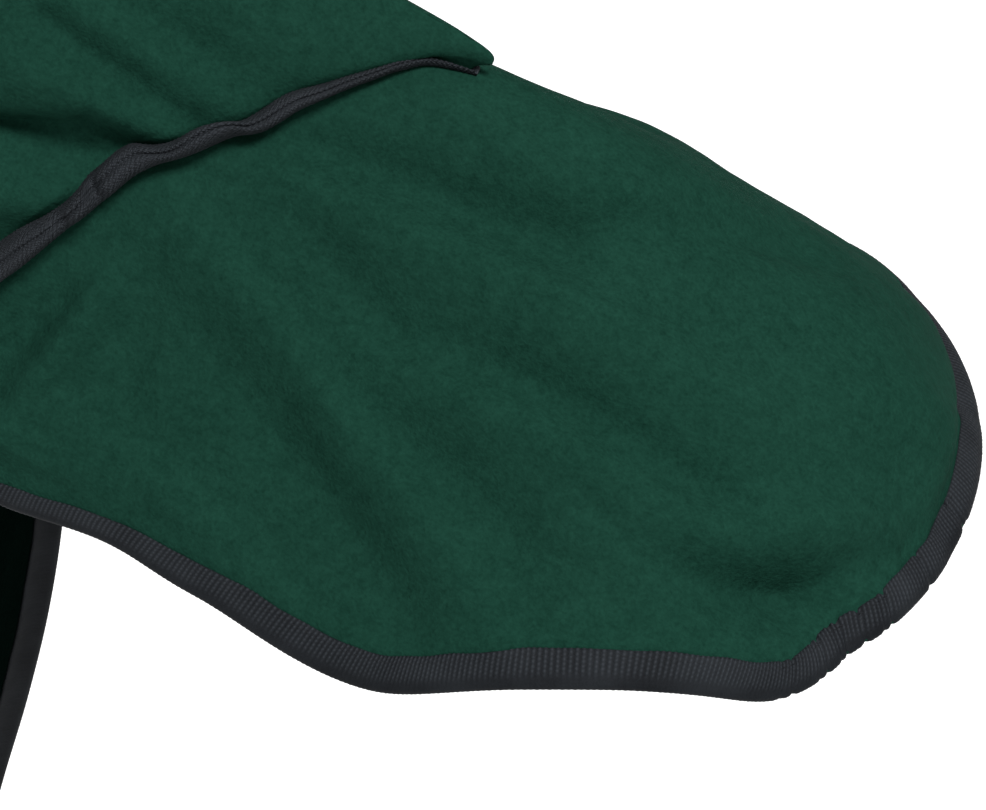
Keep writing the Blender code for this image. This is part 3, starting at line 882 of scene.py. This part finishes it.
def colourBetween(tree, factor, dark, light):
    node = tree.add("ShaderNodeMix", {"data_type": "RGBA", "clamp_factor": True})
    node.inputs[6].default_value = (*dark, 1)
    node.inputs[7].default_value = (*light, 1)
    tree.tree.links.new(factor.socket, node.inputs[0])
    return node.outputs[2]


def finishMaterial(tree, shader, look, tone, height):
    colour = colourBetween(tree, tone, look["dark"], look["light"])
    tree.tree.links.new(colour, shader.inputs["Base Color"])
    links = {"Height": height, "Strength": look["bumpStrength"], "Distance": look["bumpDepth"] * mm}
    bump = tree.add("ShaderNodeBump", None, links)
    tree.tree.links.new(bump.outputs[0], shader.inputs["Normal"])


fleeceLook = {
    "dark": (0.0045, 0.0230, 0.0153),
    "light": (0.0099, 0.0454, 0.0306),
    "roughness": 0.95,
    "sheen": 0.0,
    "sheenRoughness": 0.6,
    "specular": 0.015,
    # nap lumps of about 1.3 mm, clumps and patches: scale, and how much they show
    "nap": (760, 1.15),
    "clump": (230, 0.7),
    "patch": (34, 0.4),
    "napRelief": 0.6,
    "clumpRelief": 0.5,
    "bumpStrength": 1.0,
    "bumpDepth": 0.6,
}

# a darker copy of the same fleece: painted shade for the shadow inside the garment, since the
# fleece itself is one colour on both sides
insidePaintedShadeLook = dict(
    fleeceLook, dark=(0.0008, 0.0026, 0.0019), light=(0.0016, 0.0050, 0.0037), specular=0.0
)

tapeLook = {
    "dark": (0.0040, 0.0050, 0.0065),
    "light": (0.0290, 0.0340, 0.0400),
    "roughness": 0.75,
    "sheen": 0.0,
    "sheenRoughness": 0.5,
    "specular": 0.12,
    "yarnPitch": 0.66,
    "bandWidth": 3.4,
    "ribPitch": 1.95,
    "knotPitch": 1.45,
    "lean": 0.16,
    "ribs": 0.68,  # how much the ribs and the herringbone show
    "herringbone": 0.12,
    "ribSharpness": 1.4,
    "smoothShadeFrom": 9.2,  # reach beyond which the tape's colour loses its ribs and goes dark: painted shade where the tape turns over the cloth's edge
    "smoothShadeOver": 2.5,
    "fuzz": (1500, 0.35),
    "patch": (60, 0.5),
    "base": 0.12,
    "fuzzRelief": 0.25,
    "bumpStrength": 0.8,
    "bumpDepth": 0.3,
}

seamTapeLook = dict(tapeLook, ribs=0.4, herringbone=1.9, smoothShadeFrom=60, lean=-0.55, yarnPitch=1.0)
threadLook = dict(tapeLook, dark=(0.0060, 0.0070, 0.0085), light=(0.0260, 0.0290, 0.0330))


def makeFleece(name, look):
    made, tree, shader = startMaterial(name, look)
    where = tree.add("ShaderNodeTexCoord").outputs["Object"]
    (napScale, napShows), (clumpScale, clumpShows) = look["nap"], look["clump"]
    patchScale, patchShows = look["patch"]
    nap = noise(tree, where, napScale, 1.5, 0.6)
    clump = noise(tree, where, clumpScale, 1.0)
    patch = noise(tree, where, patchScale, 2.0)
    tone = (nap - 0.5) * napShows + (clump - 0.5) * clumpShows + (patch - 0.5) * patchShows + 0.5
    relief = nap * look["napRelief"] + clump * look["clumpRelief"]
    finishMaterial(tree, shader, look, tone, relief)
    return made


# the tape's weave, read along the tape and across it in millimetres: ribs of staggered knots, and
# yarns in a herringbone
def makeTape(name, look):
    made, tree, shader = startMaterial(name, look)
    place = tree.add("ShaderNodeUVMap", {"uv_map": "clothUV"})
    parts = tree.add("ShaderNodeSeparateXYZ", None, {"Vector": place.outputs[0]})
    run, reach = (tree.sock(parts, n) * 1000 for n in (0, 1))
    turns = (run + reach * look["lean"]) / look["ribPitch"]
    knots = (reach / look["knotPitch"] + (turns + 0.25).floor() * 0.5).wave()
    # towards the fold the ribs leave the colour and the tape darkens: painted shade along its
    # turned edge
    ribsBeforeShade = ((look["smoothShadeFrom"] - reach) / look["smoothShadeOver"]).limited()
    ribs = turns.wave().power(look["ribSharpness"]) * (knots * 0.6 + 0.4) * ribsBeforeShade * look["ribs"]
    lean = ((reach / look["bandWidth"]).wave() - 0.5).sign()
    slant = run * 0.8 + reach * lean
    crossing = (run - reach * lean) / look["yarnPitch"] * 0.6
    yarn = (slant / look["yarnPitch"]).wave() * crossing.wave() * look["herringbone"]
    where = tree.add("ShaderNodeTexCoord").outputs["Object"]
    (fuzzScale, fuzzShows), (patchScale, patchShows) = look["fuzz"], look["patch"]
    fuzz = noise(tree, where, fuzzScale, 2.0, 0.6)
    patch = noise(tree, where, patchScale, 2.0)
    tone = ribs + yarn + (fuzz - 0.5) * fuzzShows + (patch - 0.5) * patchShows + look["base"]
    finishMaterial(tree, shader, look, tone, ribs + yarn + fuzz * look["fuzzRelief"])
    return made


fleeceGreen = makeFleece("greenFleece", fleeceLook)
# the inner copy is painted shade
fleeceInsidePaintedShade = makeFleece("greenFleeceInsidePaintedShade", insidePaintedShadeLook)
tapeBlack = makeTape("blackWovenTape", tapeLook)
tapeSeam = makeTape("blackSeamTape", seamTapeLook)
threadBlack = makeTape("blackThread", threadLook)
ribNodes = ribTree(tapeBlack)
seamRibNodes = ribTree(tapeSeam)
pieceNodes = pieceTree(threadBlack)
print("materials: ready")


# The fleece pieces

fleece = {
    "half": 1.1,
    "pressed": 0.9,  # half thickness under the tape
    "pressedReach": 10.8,
    "pressedFade": 1.6,
    "puff": 0.5,  # how far the nap swells beside the tape
    "puffAt": 14.0,
    "puffWidth": 2.2,
}


# half thickness of the fleece at a distance in from its bound edge
def napHalf(inFromEdge):
    q = np.clip((inFromEdge - fleece["pressedReach"]) / fleece["pressedFade"], 0, 1)
    base = fleece["pressed"] + (fleece["half"] - fleece["pressed"]) * q * q * (3 - 2 * q)
    puff = np.exp(-(((inFromEdge - fleece["puffAt"]) / fleece["puffWidth"]) ** 2))
    return base + fleece["puff"] * puff


def makeBody():
    def face(rows, columns, side):
        along, down = np.moveaxis(panelLayout(rows, columns), -1, 0)
        half = napHalf(fromHem(along, down) + narrower(along, down))
        return bodySurface(along, down, side * half)

    rows, columns, step = panel["rows"], panel["columns"], panel["innerStep"]
    outer = face(rows, columns, 1)
    inner = face(rows // step, columns // step, -1)
    return clothShell("bodyFleece", outer, inner, fleeceGreen)


bodyFleece = makeBody()
print("body fleece:", len(bodyFleece.data.polygons), "faces")


def makeNeck():
    lengths = np.linspace(0, 1, neck["rows"]) ** neck["spacing"]
    middle, normal, turn = neckGrid(lengths, panel["columns"], neck["chestSteps"])
    toEdge = np.linalg.norm(middle - middle[-1:], axis=2)
    half = napHalf(toEdge)[..., None]
    inner = (middle - normal * half)[:, ::2]
    rows = list(range(0, neck["rows"] - 1, 3)) + [neck["rows"] - 1]
    return clothShell("neckFleece", middle + normal * half, inner[rows], fleeceGreen, ring=True)


neckFleece = makeNeck()
print("neck fleece:", len(neckFleece.data.polygons), "faces")


def makeFlap():
    rows, columns = flap["rows"], flap["columns"]
    layout = flapLayout(rows, columns)
    down, across = layout[..., 0], layout[..., 1]
    half = napHalf(np.maximum(np.minimum(flapHalf(down) - np.abs(across), flapRun[-1] - down), 0))
    front, rear = (flapSurface(down, across, side * half) for side in (1, -1))
    made = clothShell("flapFleece", front, rear, fleeceGreen)
    # the flap's rear face takes the darker copy of the fleece: painted shade for the inside of the
    # garment
    made.data.materials.append(fleeceInsidePaintedShade)
    count = (rows - 1) * (columns - 1)
    dress = np.zeros(len(made.data.polygons), np.int32)
    dress[count : 2 * count] = 1
    made.data.polygons.foreach_set("material_index", dress)
    return made


flapFleece = makeFlap()
print("flap fleece:", len(flapFleece.data.polygons), "faces")


# The tapes

tape = {
    "thick": 0.8,
    "room": 0.1,
    "shows": 11.3,
    "fold": 1.3,  # where the tape starts to turn round the cloth's edge
    "foldDepth": 2.4,
    "foldLength": 5,
    "foldSteps": 8,
    "across": 0.72,
    "crown": 0.35,
    "tuck": 0.35,
    "wander": 0.35,
    "gather": {"in": 1.6, "fold": 0.9, "out": 0.75},
    "step": 0.49,  # along the hem and the seam
    "coarseStep": 0.65,
    "start": 5.0,
    # gathers where the tape turns the panel's corners: (run from its left front, depth, width)
    "hemGathers": (
        (384, 0.35, 1.5),
        (390, 0.65, 1.5),
        (403.5, 0.5, 1.1),
        (407.5, 0.85, 1.3),
        (415.8, 0.5, 1.0),
        (419.5, 0.85, 1.3),
        (428.5, 0.9, 1.4),
        (437.5, 0.5, 1.2),
        (441.5, 0.95, 1.4),
        (467.5, 0.75, 1.5),
        (500.5, 1.0, 1.7),
        (504, 0.5, 1.2),
    ),
}


# the folded tape's section: (in from the cloth's edge, out from its middle, reach, ribbed)
def tapeSection():
    shows, fold = tape["shows"], tape["fold"]
    room = fleece["pressed"] + tape["room"]
    seat = room + tape["thick"]
    steps = int(shows / tape["across"])
    points = []
    for i in range(steps + 1):
        reach = (shows - fold) * i / steps
        crown = tape["crown"] * math.sin(math.pi * i / steps)
        tuck = tape["tuck"] * math.exp(-((reach / 0.9) ** 2))
        points.append((shows - reach, seat + crown - tuck, reach, min(1, (shows + 2 - reach) / 5)))
    for i in range(1, tape["foldSteps"]):
        part = i / tape["foldSteps"]
        angle = math.pi * part
        place = (fold - tape["foldDepth"] * math.sin(angle), (seat + 0.05) * math.cos(angle))
        points.append((*place, shows - fold + tape["foldLength"] * part, 0.6))
    back = steps // 2
    for i in range(back + 1):
        inward = fold + (shows - fold) * i / back
        points.append((inward, -seat, shows + 3.7 + inward, 0.6 if i < back else 0))
    under = ((shows, -room), (shows / 2, -room), (0.6, -room), (-0.3, 0))
    under += ((0.6, room), (shows / 2, room), (shows, room - 0.2))
    points += [(*place, shows, 0) for place in under]
    return np.array(points)


# how deep the tape is gathered at each place along it
def gathered(run, gathers):
    depth = np.zeros_like(run)
    for at, deep, width in gathers:
        depth = depth + deep * np.exp(-(((run - at) / width) ** 2))
    return depth


# the section at each place along a tape, gathered and a little uneven: (in, out) distances
def tapeRun(run, gathers, narrow=0.0):
    section = tapeSection()
    depth = gathered(run, gathers)[:, None]
    inward, out, reach, ribbed = section.T
    wander = np.sin(run / 9 + 1.5 * np.sin(run / 23)) + 0.6 * np.sin(run / 3.7)
    boundary = np.exp(-((reach / 3) ** 2)) * (ribbed > 0)
    fold = np.exp(-(((inward + 1) / 2) ** 2))
    gather = tape["gather"]
    places = inward + boundary * (tape["wander"] * wander[:, None] - gather["in"] * depth)
    places = places + fold * gather["fold"] * depth
    front = (out > 0) * np.clip(inward / tape["shows"], 0, 1)
    places = places - front * np.broadcast_to(narrow, run.shape)[:, None]
    outs = out - np.sign(out) * (ribbed > 0) * depth * gather["out"]
    values = {"run": run[:, None], "reach": reach, "ribbed": ribbed}
    values = {key: np.broadcast_to(value, places.shape) for key, value in values.items()}
    return places, outs, values


def tapeMesh(name, points, values, ring=False, sizes=None, look=tapeBlack, nodes=ribNodes):
    uv = np.stack([values["run"], values["reach"]], -1) * mm
    made = sweptStrip(name, points, look, values, uv, ring)
    return applyTree(made, nodes, dict(ribSizes, **(sizes or {})))


def runAlong(points):
    return np.concatenate([[0], np.cumsum(np.linalg.norm(np.diff(points, axis=0), axis=1))])


# the direction in from a path on the flat cloth
def inwardFrom(path):
    travel = unit(np.gradient(path, axis=0))
    return np.column_stack([-travel[:, 1], travel[:, 0]])


# folds tape over the edge of a cloth that function bends into shape
def foldTape(name, path, function, gathers=(), narrow=0.0):
    places, outs, values = tapeRun(runAlong(path), gathers, narrow)
    flat = path[:, None, :] + inwardFrom(path)[:, None, :] * places[..., None]
    return tapeMesh(name, function(flat[..., 0], flat[..., 1], outs), values)


# a row of small pieces at points of a surface, aimed along the row or as given
def pieceRow(name, points, out, sizes, aim=None):
    aim = unit(np.gradient(points, axis=0)) if aim is None else aim
    mesh = bpy.data.meshes.new(name)
    mesh.from_pydata((points * mm).tolist(), [], [])
    for key, vectors in (("aim", aim), ("out", out)):
        layer = mesh.attributes.new(key, "FLOAT_VECTOR", "POINT")
        layer.data.foreach_set("vector", np.asarray(vectors, np.float32).ravel())
    made = bpy.data.objects.new(name, mesh)
    bpy.context.scene.collection.objects.link(made)
    return applyTree(made, pieceNodes, dict(pieceSizes, **sizes))


hemLast = 2 * (len(panel["hem"]) - 1)
hemLength = runAlong(hemLine(0, hemLast, 2000))[-1]


def makeHemTape():
    path = hemLine(0, hemLast, int(hemLength / tape["step"]))
    skip = int(tape["start"] / tape["step"])
    path = path[skip:-skip]
    narrow = narrower(path[:, 0], path[:, 1])
    return foldTape("hemTape", path, bodySurface, tape["hemGathers"], narrow)


hemTape = makeHemTape()
print("hem tape:", len(hemTape.data.polygons), "faces")


def makeFlapTape():
    layout = flapLayout(300, 240)
    side, end = layout[:, 0], layout[-1]
    edge = np.concatenate([side[4:], end[1:-1], side[:3:-1] * (1, -1)])
    path = evenly(edge, int(runAlong(edge)[-1] / tape["coarseStep"]))
    return foldTape("flapTape", path, flapSurface)


flapTape = makeFlapTape()
print("flap tape:", len(flapTape.data.polygons), "faces")


# a closed ring of vectors read evenly, count times
def roundRing(ring, count, vectors):
    closed = np.concatenate([ring, ring[:1]])
    run = runAlong(closed)
    want = np.linspace(0, run[-1], count, endpoint=False)
    whole = [np.concatenate([v, v[:1]]) for v in (ring, *vectors)]
    return want, [np.column_stack([np.interp(want, run, c) for c in v.T]) for v in whole]


def makeNeckTape():
    lengths = np.array([0.9, 0.94, 0.97, 0.985, 1.0])
    middle, normal, turn = neckGrid(lengths, panel["columns"], neck["chestSteps"])
    inward = unit(middle[-2] - middle[-1])
    closed = np.concatenate([middle[-1], middle[-1][:1]])
    # a whole number of ribs all round
    ribs = round(runAlong(closed)[-1] / ribSizes["Rib Pitch"])
    run, (edge, out, inwards) = roundRing(middle[-1], ribs * 3, (normal[-1], inward))
    places, outs, values = tapeRun(run, ())
    points = edge[:, None] + inwards[:, None] * places[..., None] + out[:, None] * outs[..., None]
    return tapeMesh("neckTape", points, values, True, {"Rib Pitch": run[1] * 3})


neckTape = makeNeckTape()
print("neck tape:", len(neckTape.data.polygons), "faces")


# The raised seam

seam = {
    "columns": 850,
    "chestSteps": 500,
    # (turn round from the crest in degrees, height, half width)
    "ridge": (
        (0, 2.0, 1.3),
        (10, 4.2, 1.7),
        (20, 6.8, 2.3),
        (36, 10.2, 3.1),
        (52, 12.2, 3.6),
        (64, 12.2, 3.6),
        (80, 12.0, 3.5),
        (105, 12.2, 3.6),
        (125, 10.6, 3.1),
        (180, 9.0, 3.0),
    ),
    "lean": 0.35,
    "cornerLift": 2.2,
    "cornerReach": 5,
    "seat": 1.3,
    # the section: (across, from the body to the neck in half widths, part of the height, ribbed)
    "section": (
        (-1.00, 0.00, 0.0),
        (-1.16, 0.10, 0.3),
        (-1.30, 0.22, 0.5),
        (-1.36, 0.34, 0.5),
        (-1.36, 0.46, 0.5),
        (-1.30, 0.58, 0.5),
        (-1.18, 0.69, 0.5),
        (-1.02, 0.79, 0.5),
        (-0.80, 0.88, 0.5),
        (-0.55, 0.95, 0.5),
        (-0.28, 0.99, 0.5),
        (-0.04, 0.99, 0.4),
        (0.14, 0.94, 0.2),
        (0.26, 0.84, 0.0),
        (0.36, 0.82, 0.2),
        (0.48, 0.86, 0.7),
        (0.66, 0.88, 1.0),
        (0.86, 0.86, 1.0),
        (1.02, 0.80, 1.0),
        (1.14, 0.71, 1.0),
        (1.22, 0.61, 1.0),
        (1.28, 0.50, 1.0),
        (1.32, 0.39, 1.0),
        (1.34, 0.28, 0.8),
        (1.30, 0.18, 0.3),
        (1.10, 0.08, 0.0),
        (1.00, 0.00, 0.0),
        (0.40, 0.00, 0.0),
        (-0.40, 0.00, 0.0),
    ),
    # puckers: (run from the left front corner, depth in parts of the height, width)
    "puckers": (
        (40, 0.1, 5),
        (54, -0.08, 6),
        (68, 0.26, 3.5),
        (76, -0.1, 4),
        (83, 0.3, 3),
        (93, -0.12, 6),
        (112, 0.1, 5),
        (128, -0.08, 7),
        (348, 0.2, 5),
        (365, -0.1, 7),
    ),
    "ribs": {"Lean": -0.55, "Rib Height": 0.3},
    "selvedge": {"Length": 1.5, "Width": 0.75, "Height": 0.5, "Unevenness": 0.2, "Seed": 7},
    "selvedgePitch": 1.3,
    "selvedgeAt": 23,  # the point of the section where the tape's edge is
}


# points beside the seam, on the body panel and then across the chest on the flap
def belowSeam(reach, out):
    columns, steps = seam["columns"], seam["chestSteps"]
    places = seamOnPanel(columns)
    travel = unit(np.gradient(places, axis=0))
    beside = places + np.column_stack([travel[:, 1], -travel[:, 0]]) * reach[:columns, None]
    over = bodySurface(beside[:, 0], beside[:, 1], np.full(columns, out))
    across = chestAcross(steps)
    chest = flapSurface(chestEdge(across) + reach[columns:], across, np.full(steps, out))
    return np.concatenate([over, chest])


# points beside the seam on the neck piece, all round
def aboveSeam(reach, out):
    lengths = np.linspace(0, 0.05, 11)
    middle, normal, turn = neckGrid(lengths, seam["columns"], seam["chestSteps"])
    rows = middle + normal * out
    size = np.linalg.norm(np.diff(rows, axis=0), axis=2)
    run = np.concatenate([np.zeros((1, rows.shape[1])), np.cumsum(size, axis=0)])
    k = np.clip((run <= reach).sum(0) - 1, 0, len(rows) - 2)
    i = np.arange(rows.shape[1])
    q = ((reach - run[k, i]) / (run[k + 1, i] - run[k, i]))[:, None]
    return rows[k, i] * (1 - q) + rows[k + 1, i] * q


def makeRidge():
    columns, steps = seam["columns"], seam["chestSteps"]
    ring, ringOut = seamRing(columns, steps)
    run = runAlong(ring)
    height, half = np.moveaxis(smooth(seam["ridge"], np.abs(turnRound(ring, columns))), -1, 0)
    height = height * (1 - gathered(run, seam["puckers"]))
    forward = ringForward(ring, ringOut)
    footBody, footNeck = belowSeam(half, seam["seat"]), aboveSeam(half, seam["seat"])
    middle, spread = (footBody + footNeck) / 2, (footNeck - footBody) / 2
    lean = unit(ringOut - forward * seam["lean"])
    # it lifts over the panel's front corners, where three pieces meet
    corners = (0, run[columns - 1], run[-1])
    lift = gathered(run, [(corner, 1, seam["cornerReach"]) for corner in corners])
    base = middle + ringOut * (seam["cornerLift"] * lift)[:, None]
    section = np.array(seam["section"])
    wave = 0.06 * np.sin(run / 6 + 2 * np.sin(run / 17)) + 0.04 * np.sin(run / 2.9)
    points = []
    for across, high, ribbed in section:
        swing = across + wave * (1 if across > 0 else 0.6) * (high > 0)
        points.append(base + spread * swing[:, None] + lean * (height * high)[:, None])
    points = np.stack(points, 1)
    size = np.linalg.norm(np.diff(points, axis=1), axis=2)
    reach = np.concatenate([np.zeros((len(run), 1)), np.cumsum(size, axis=1)], axis=1)
    values = {"run": np.broadcast_to(run[:, None], reach.shape), "reach": reach}
    values["ribbed"] = np.broadcast_to(section[:, 2], reach.shape)
    made = tapeMesh("seamRidge", points, values, True, seam["ribs"], tapeSeam, seamRibNodes)
    # the woven edge of the tape stands in small teeth along the neck side
    at = seam["selvedgeAt"]
    edge = points[:, at] + (points[:, at + 1] - points[:, at - 1]) * 0.1
    want = np.arange(0, run[-1], seam["selvedgePitch"])

    def read(vectors):
        return np.column_stack([np.interp(want, run, column) for column in vectors.T])

    aim = read(unit(points[:, at] - points[:, at - 2]))
    return made, pieceRow("seamSelvedge", read(edge), read(forward), seam["selvedge"], aim)


seamRidge, seamSelvedge = makeRidge()
print("seam ridge:", len(seamRidge.data.polygons), "faces")


# Stitches that hold the hem tape, a little way in from its inner edge

stitching = {
    "pitch": 3.0,
    "in": 2.2,
    "proud": 0.3,
    "sizes": {"Length": 2.0, "Width": 0.38, "Height": 0.3},
}


def hemStitches():
    path = hemLine(0, hemLast, int(hemLength / stitching["pitch"]))[3:-3]
    reach = tape["shows"] - stitching["in"] - narrower(path[:, 0], path[:, 1])
    place = path + inwardFrom(path) * reach[:, None]
    seat = fleece["pressed"] + tape["room"] + tape["thick"] + stitching["proud"]
    points = bodySurface(place[:, 0], place[:, 1], np.full(len(place), seat))
    out = surfaceNormals(folded, place[:, 0], place[:, 1])
    return pieceRow("hemStitches", points, out, stitching["sizes"])


hemStitch = hemStitches()
print("stitches: ready")


# What stands for what

for piece, node in (
    (bodyFleece, "body_panel"),
    (neckFleece, "neck_piece"),
    (flapFleece, "chest_flap"),
    (hemTape, "hem_binding"),
    (neckTape, "neck_edge_binding"),
    (flapTape, "flap_binding"),
    (seamRidge, "neck_seam_binding"),
):
    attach(piece, "root")
    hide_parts(node)
    "fleece" if piece in (bodyFleece, neckFleece, flapFleece) else "tape"
for piece in (seamSelvedge, hemStitch):
    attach(piece, "root")


# The floor and the light

stage = {
    "floorDrop": -1300,
    "floorSize": 16.0,
    "floorColour": (0.92, 0.92, 0.92),
    "floorRoughness": 0.9,
    "world": (1.0, 1.0, 1.0),
    "worldStrength": 0.12,
    # each light: name, turn and height in degrees of where it shines from, its width, its strength
    "lights": (
        ("keyLight", 27, 69, 18, 3.9),
        ("fillLight", 2, 34, 50, 0.5),
        ("backLight", 165, 50, 40, 0.8),
    ),
}


def makeStage():
    mesh = bpy.data.meshes.new("floor")
    s, z = stage["floorSize"] / 2, stage["floorDrop"] * mm
    mesh.from_pydata([(-s, -s, z), (s, -s, z), (s, s, z), (-s, s, z)], [], [(0, 1, 2, 3)])
    look = bpy.data.materials.new("paleFloor")
    look.use_nodes = True
    shader = look.node_tree.nodes["Principled BSDF"]
    shader.inputs["Base Color"].default_value = (*stage["floorColour"], 1)
    shader.inputs["Roughness"].default_value = stage["floorRoughness"]
    mesh.materials.append(look)
    floor = bpy.data.objects.new("floor", mesh)
    bpy.context.scene.collection.objects.link(floor)
    world = bpy.data.worlds.new("paleRoom")
    world.use_nodes = True
    sky = world.node_tree.nodes["Background"]
    sky.inputs["Color"].default_value = (*stage["world"], 1)
    sky.inputs["Strength"].default_value = stage["worldStrength"]
    bpy.context.scene.world = world
    for name, turn, height, width, strength in stage["lights"]:
        data = bpy.data.lights.new(name, "SUN")
        data.angle, data.energy = math.radians(width), strength
        light = bpy.data.objects.new(name, data)
        a, e = math.radians(turn), math.radians(height)
        source = Vector((math.sin(a) * math.cos(e), -math.cos(a) * math.cos(e), math.sin(e)))
        turned = source.to_track_quat("Z", "Y").to_matrix().to_4x4()
        light.matrix_world = Matrix.Translation(source * 2) @ turned
        bpy.context.scene.collection.objects.link(light)
    bpy.context.scene.view_settings.view_transform = "Standard"


makeStage()
print("stage: ready")
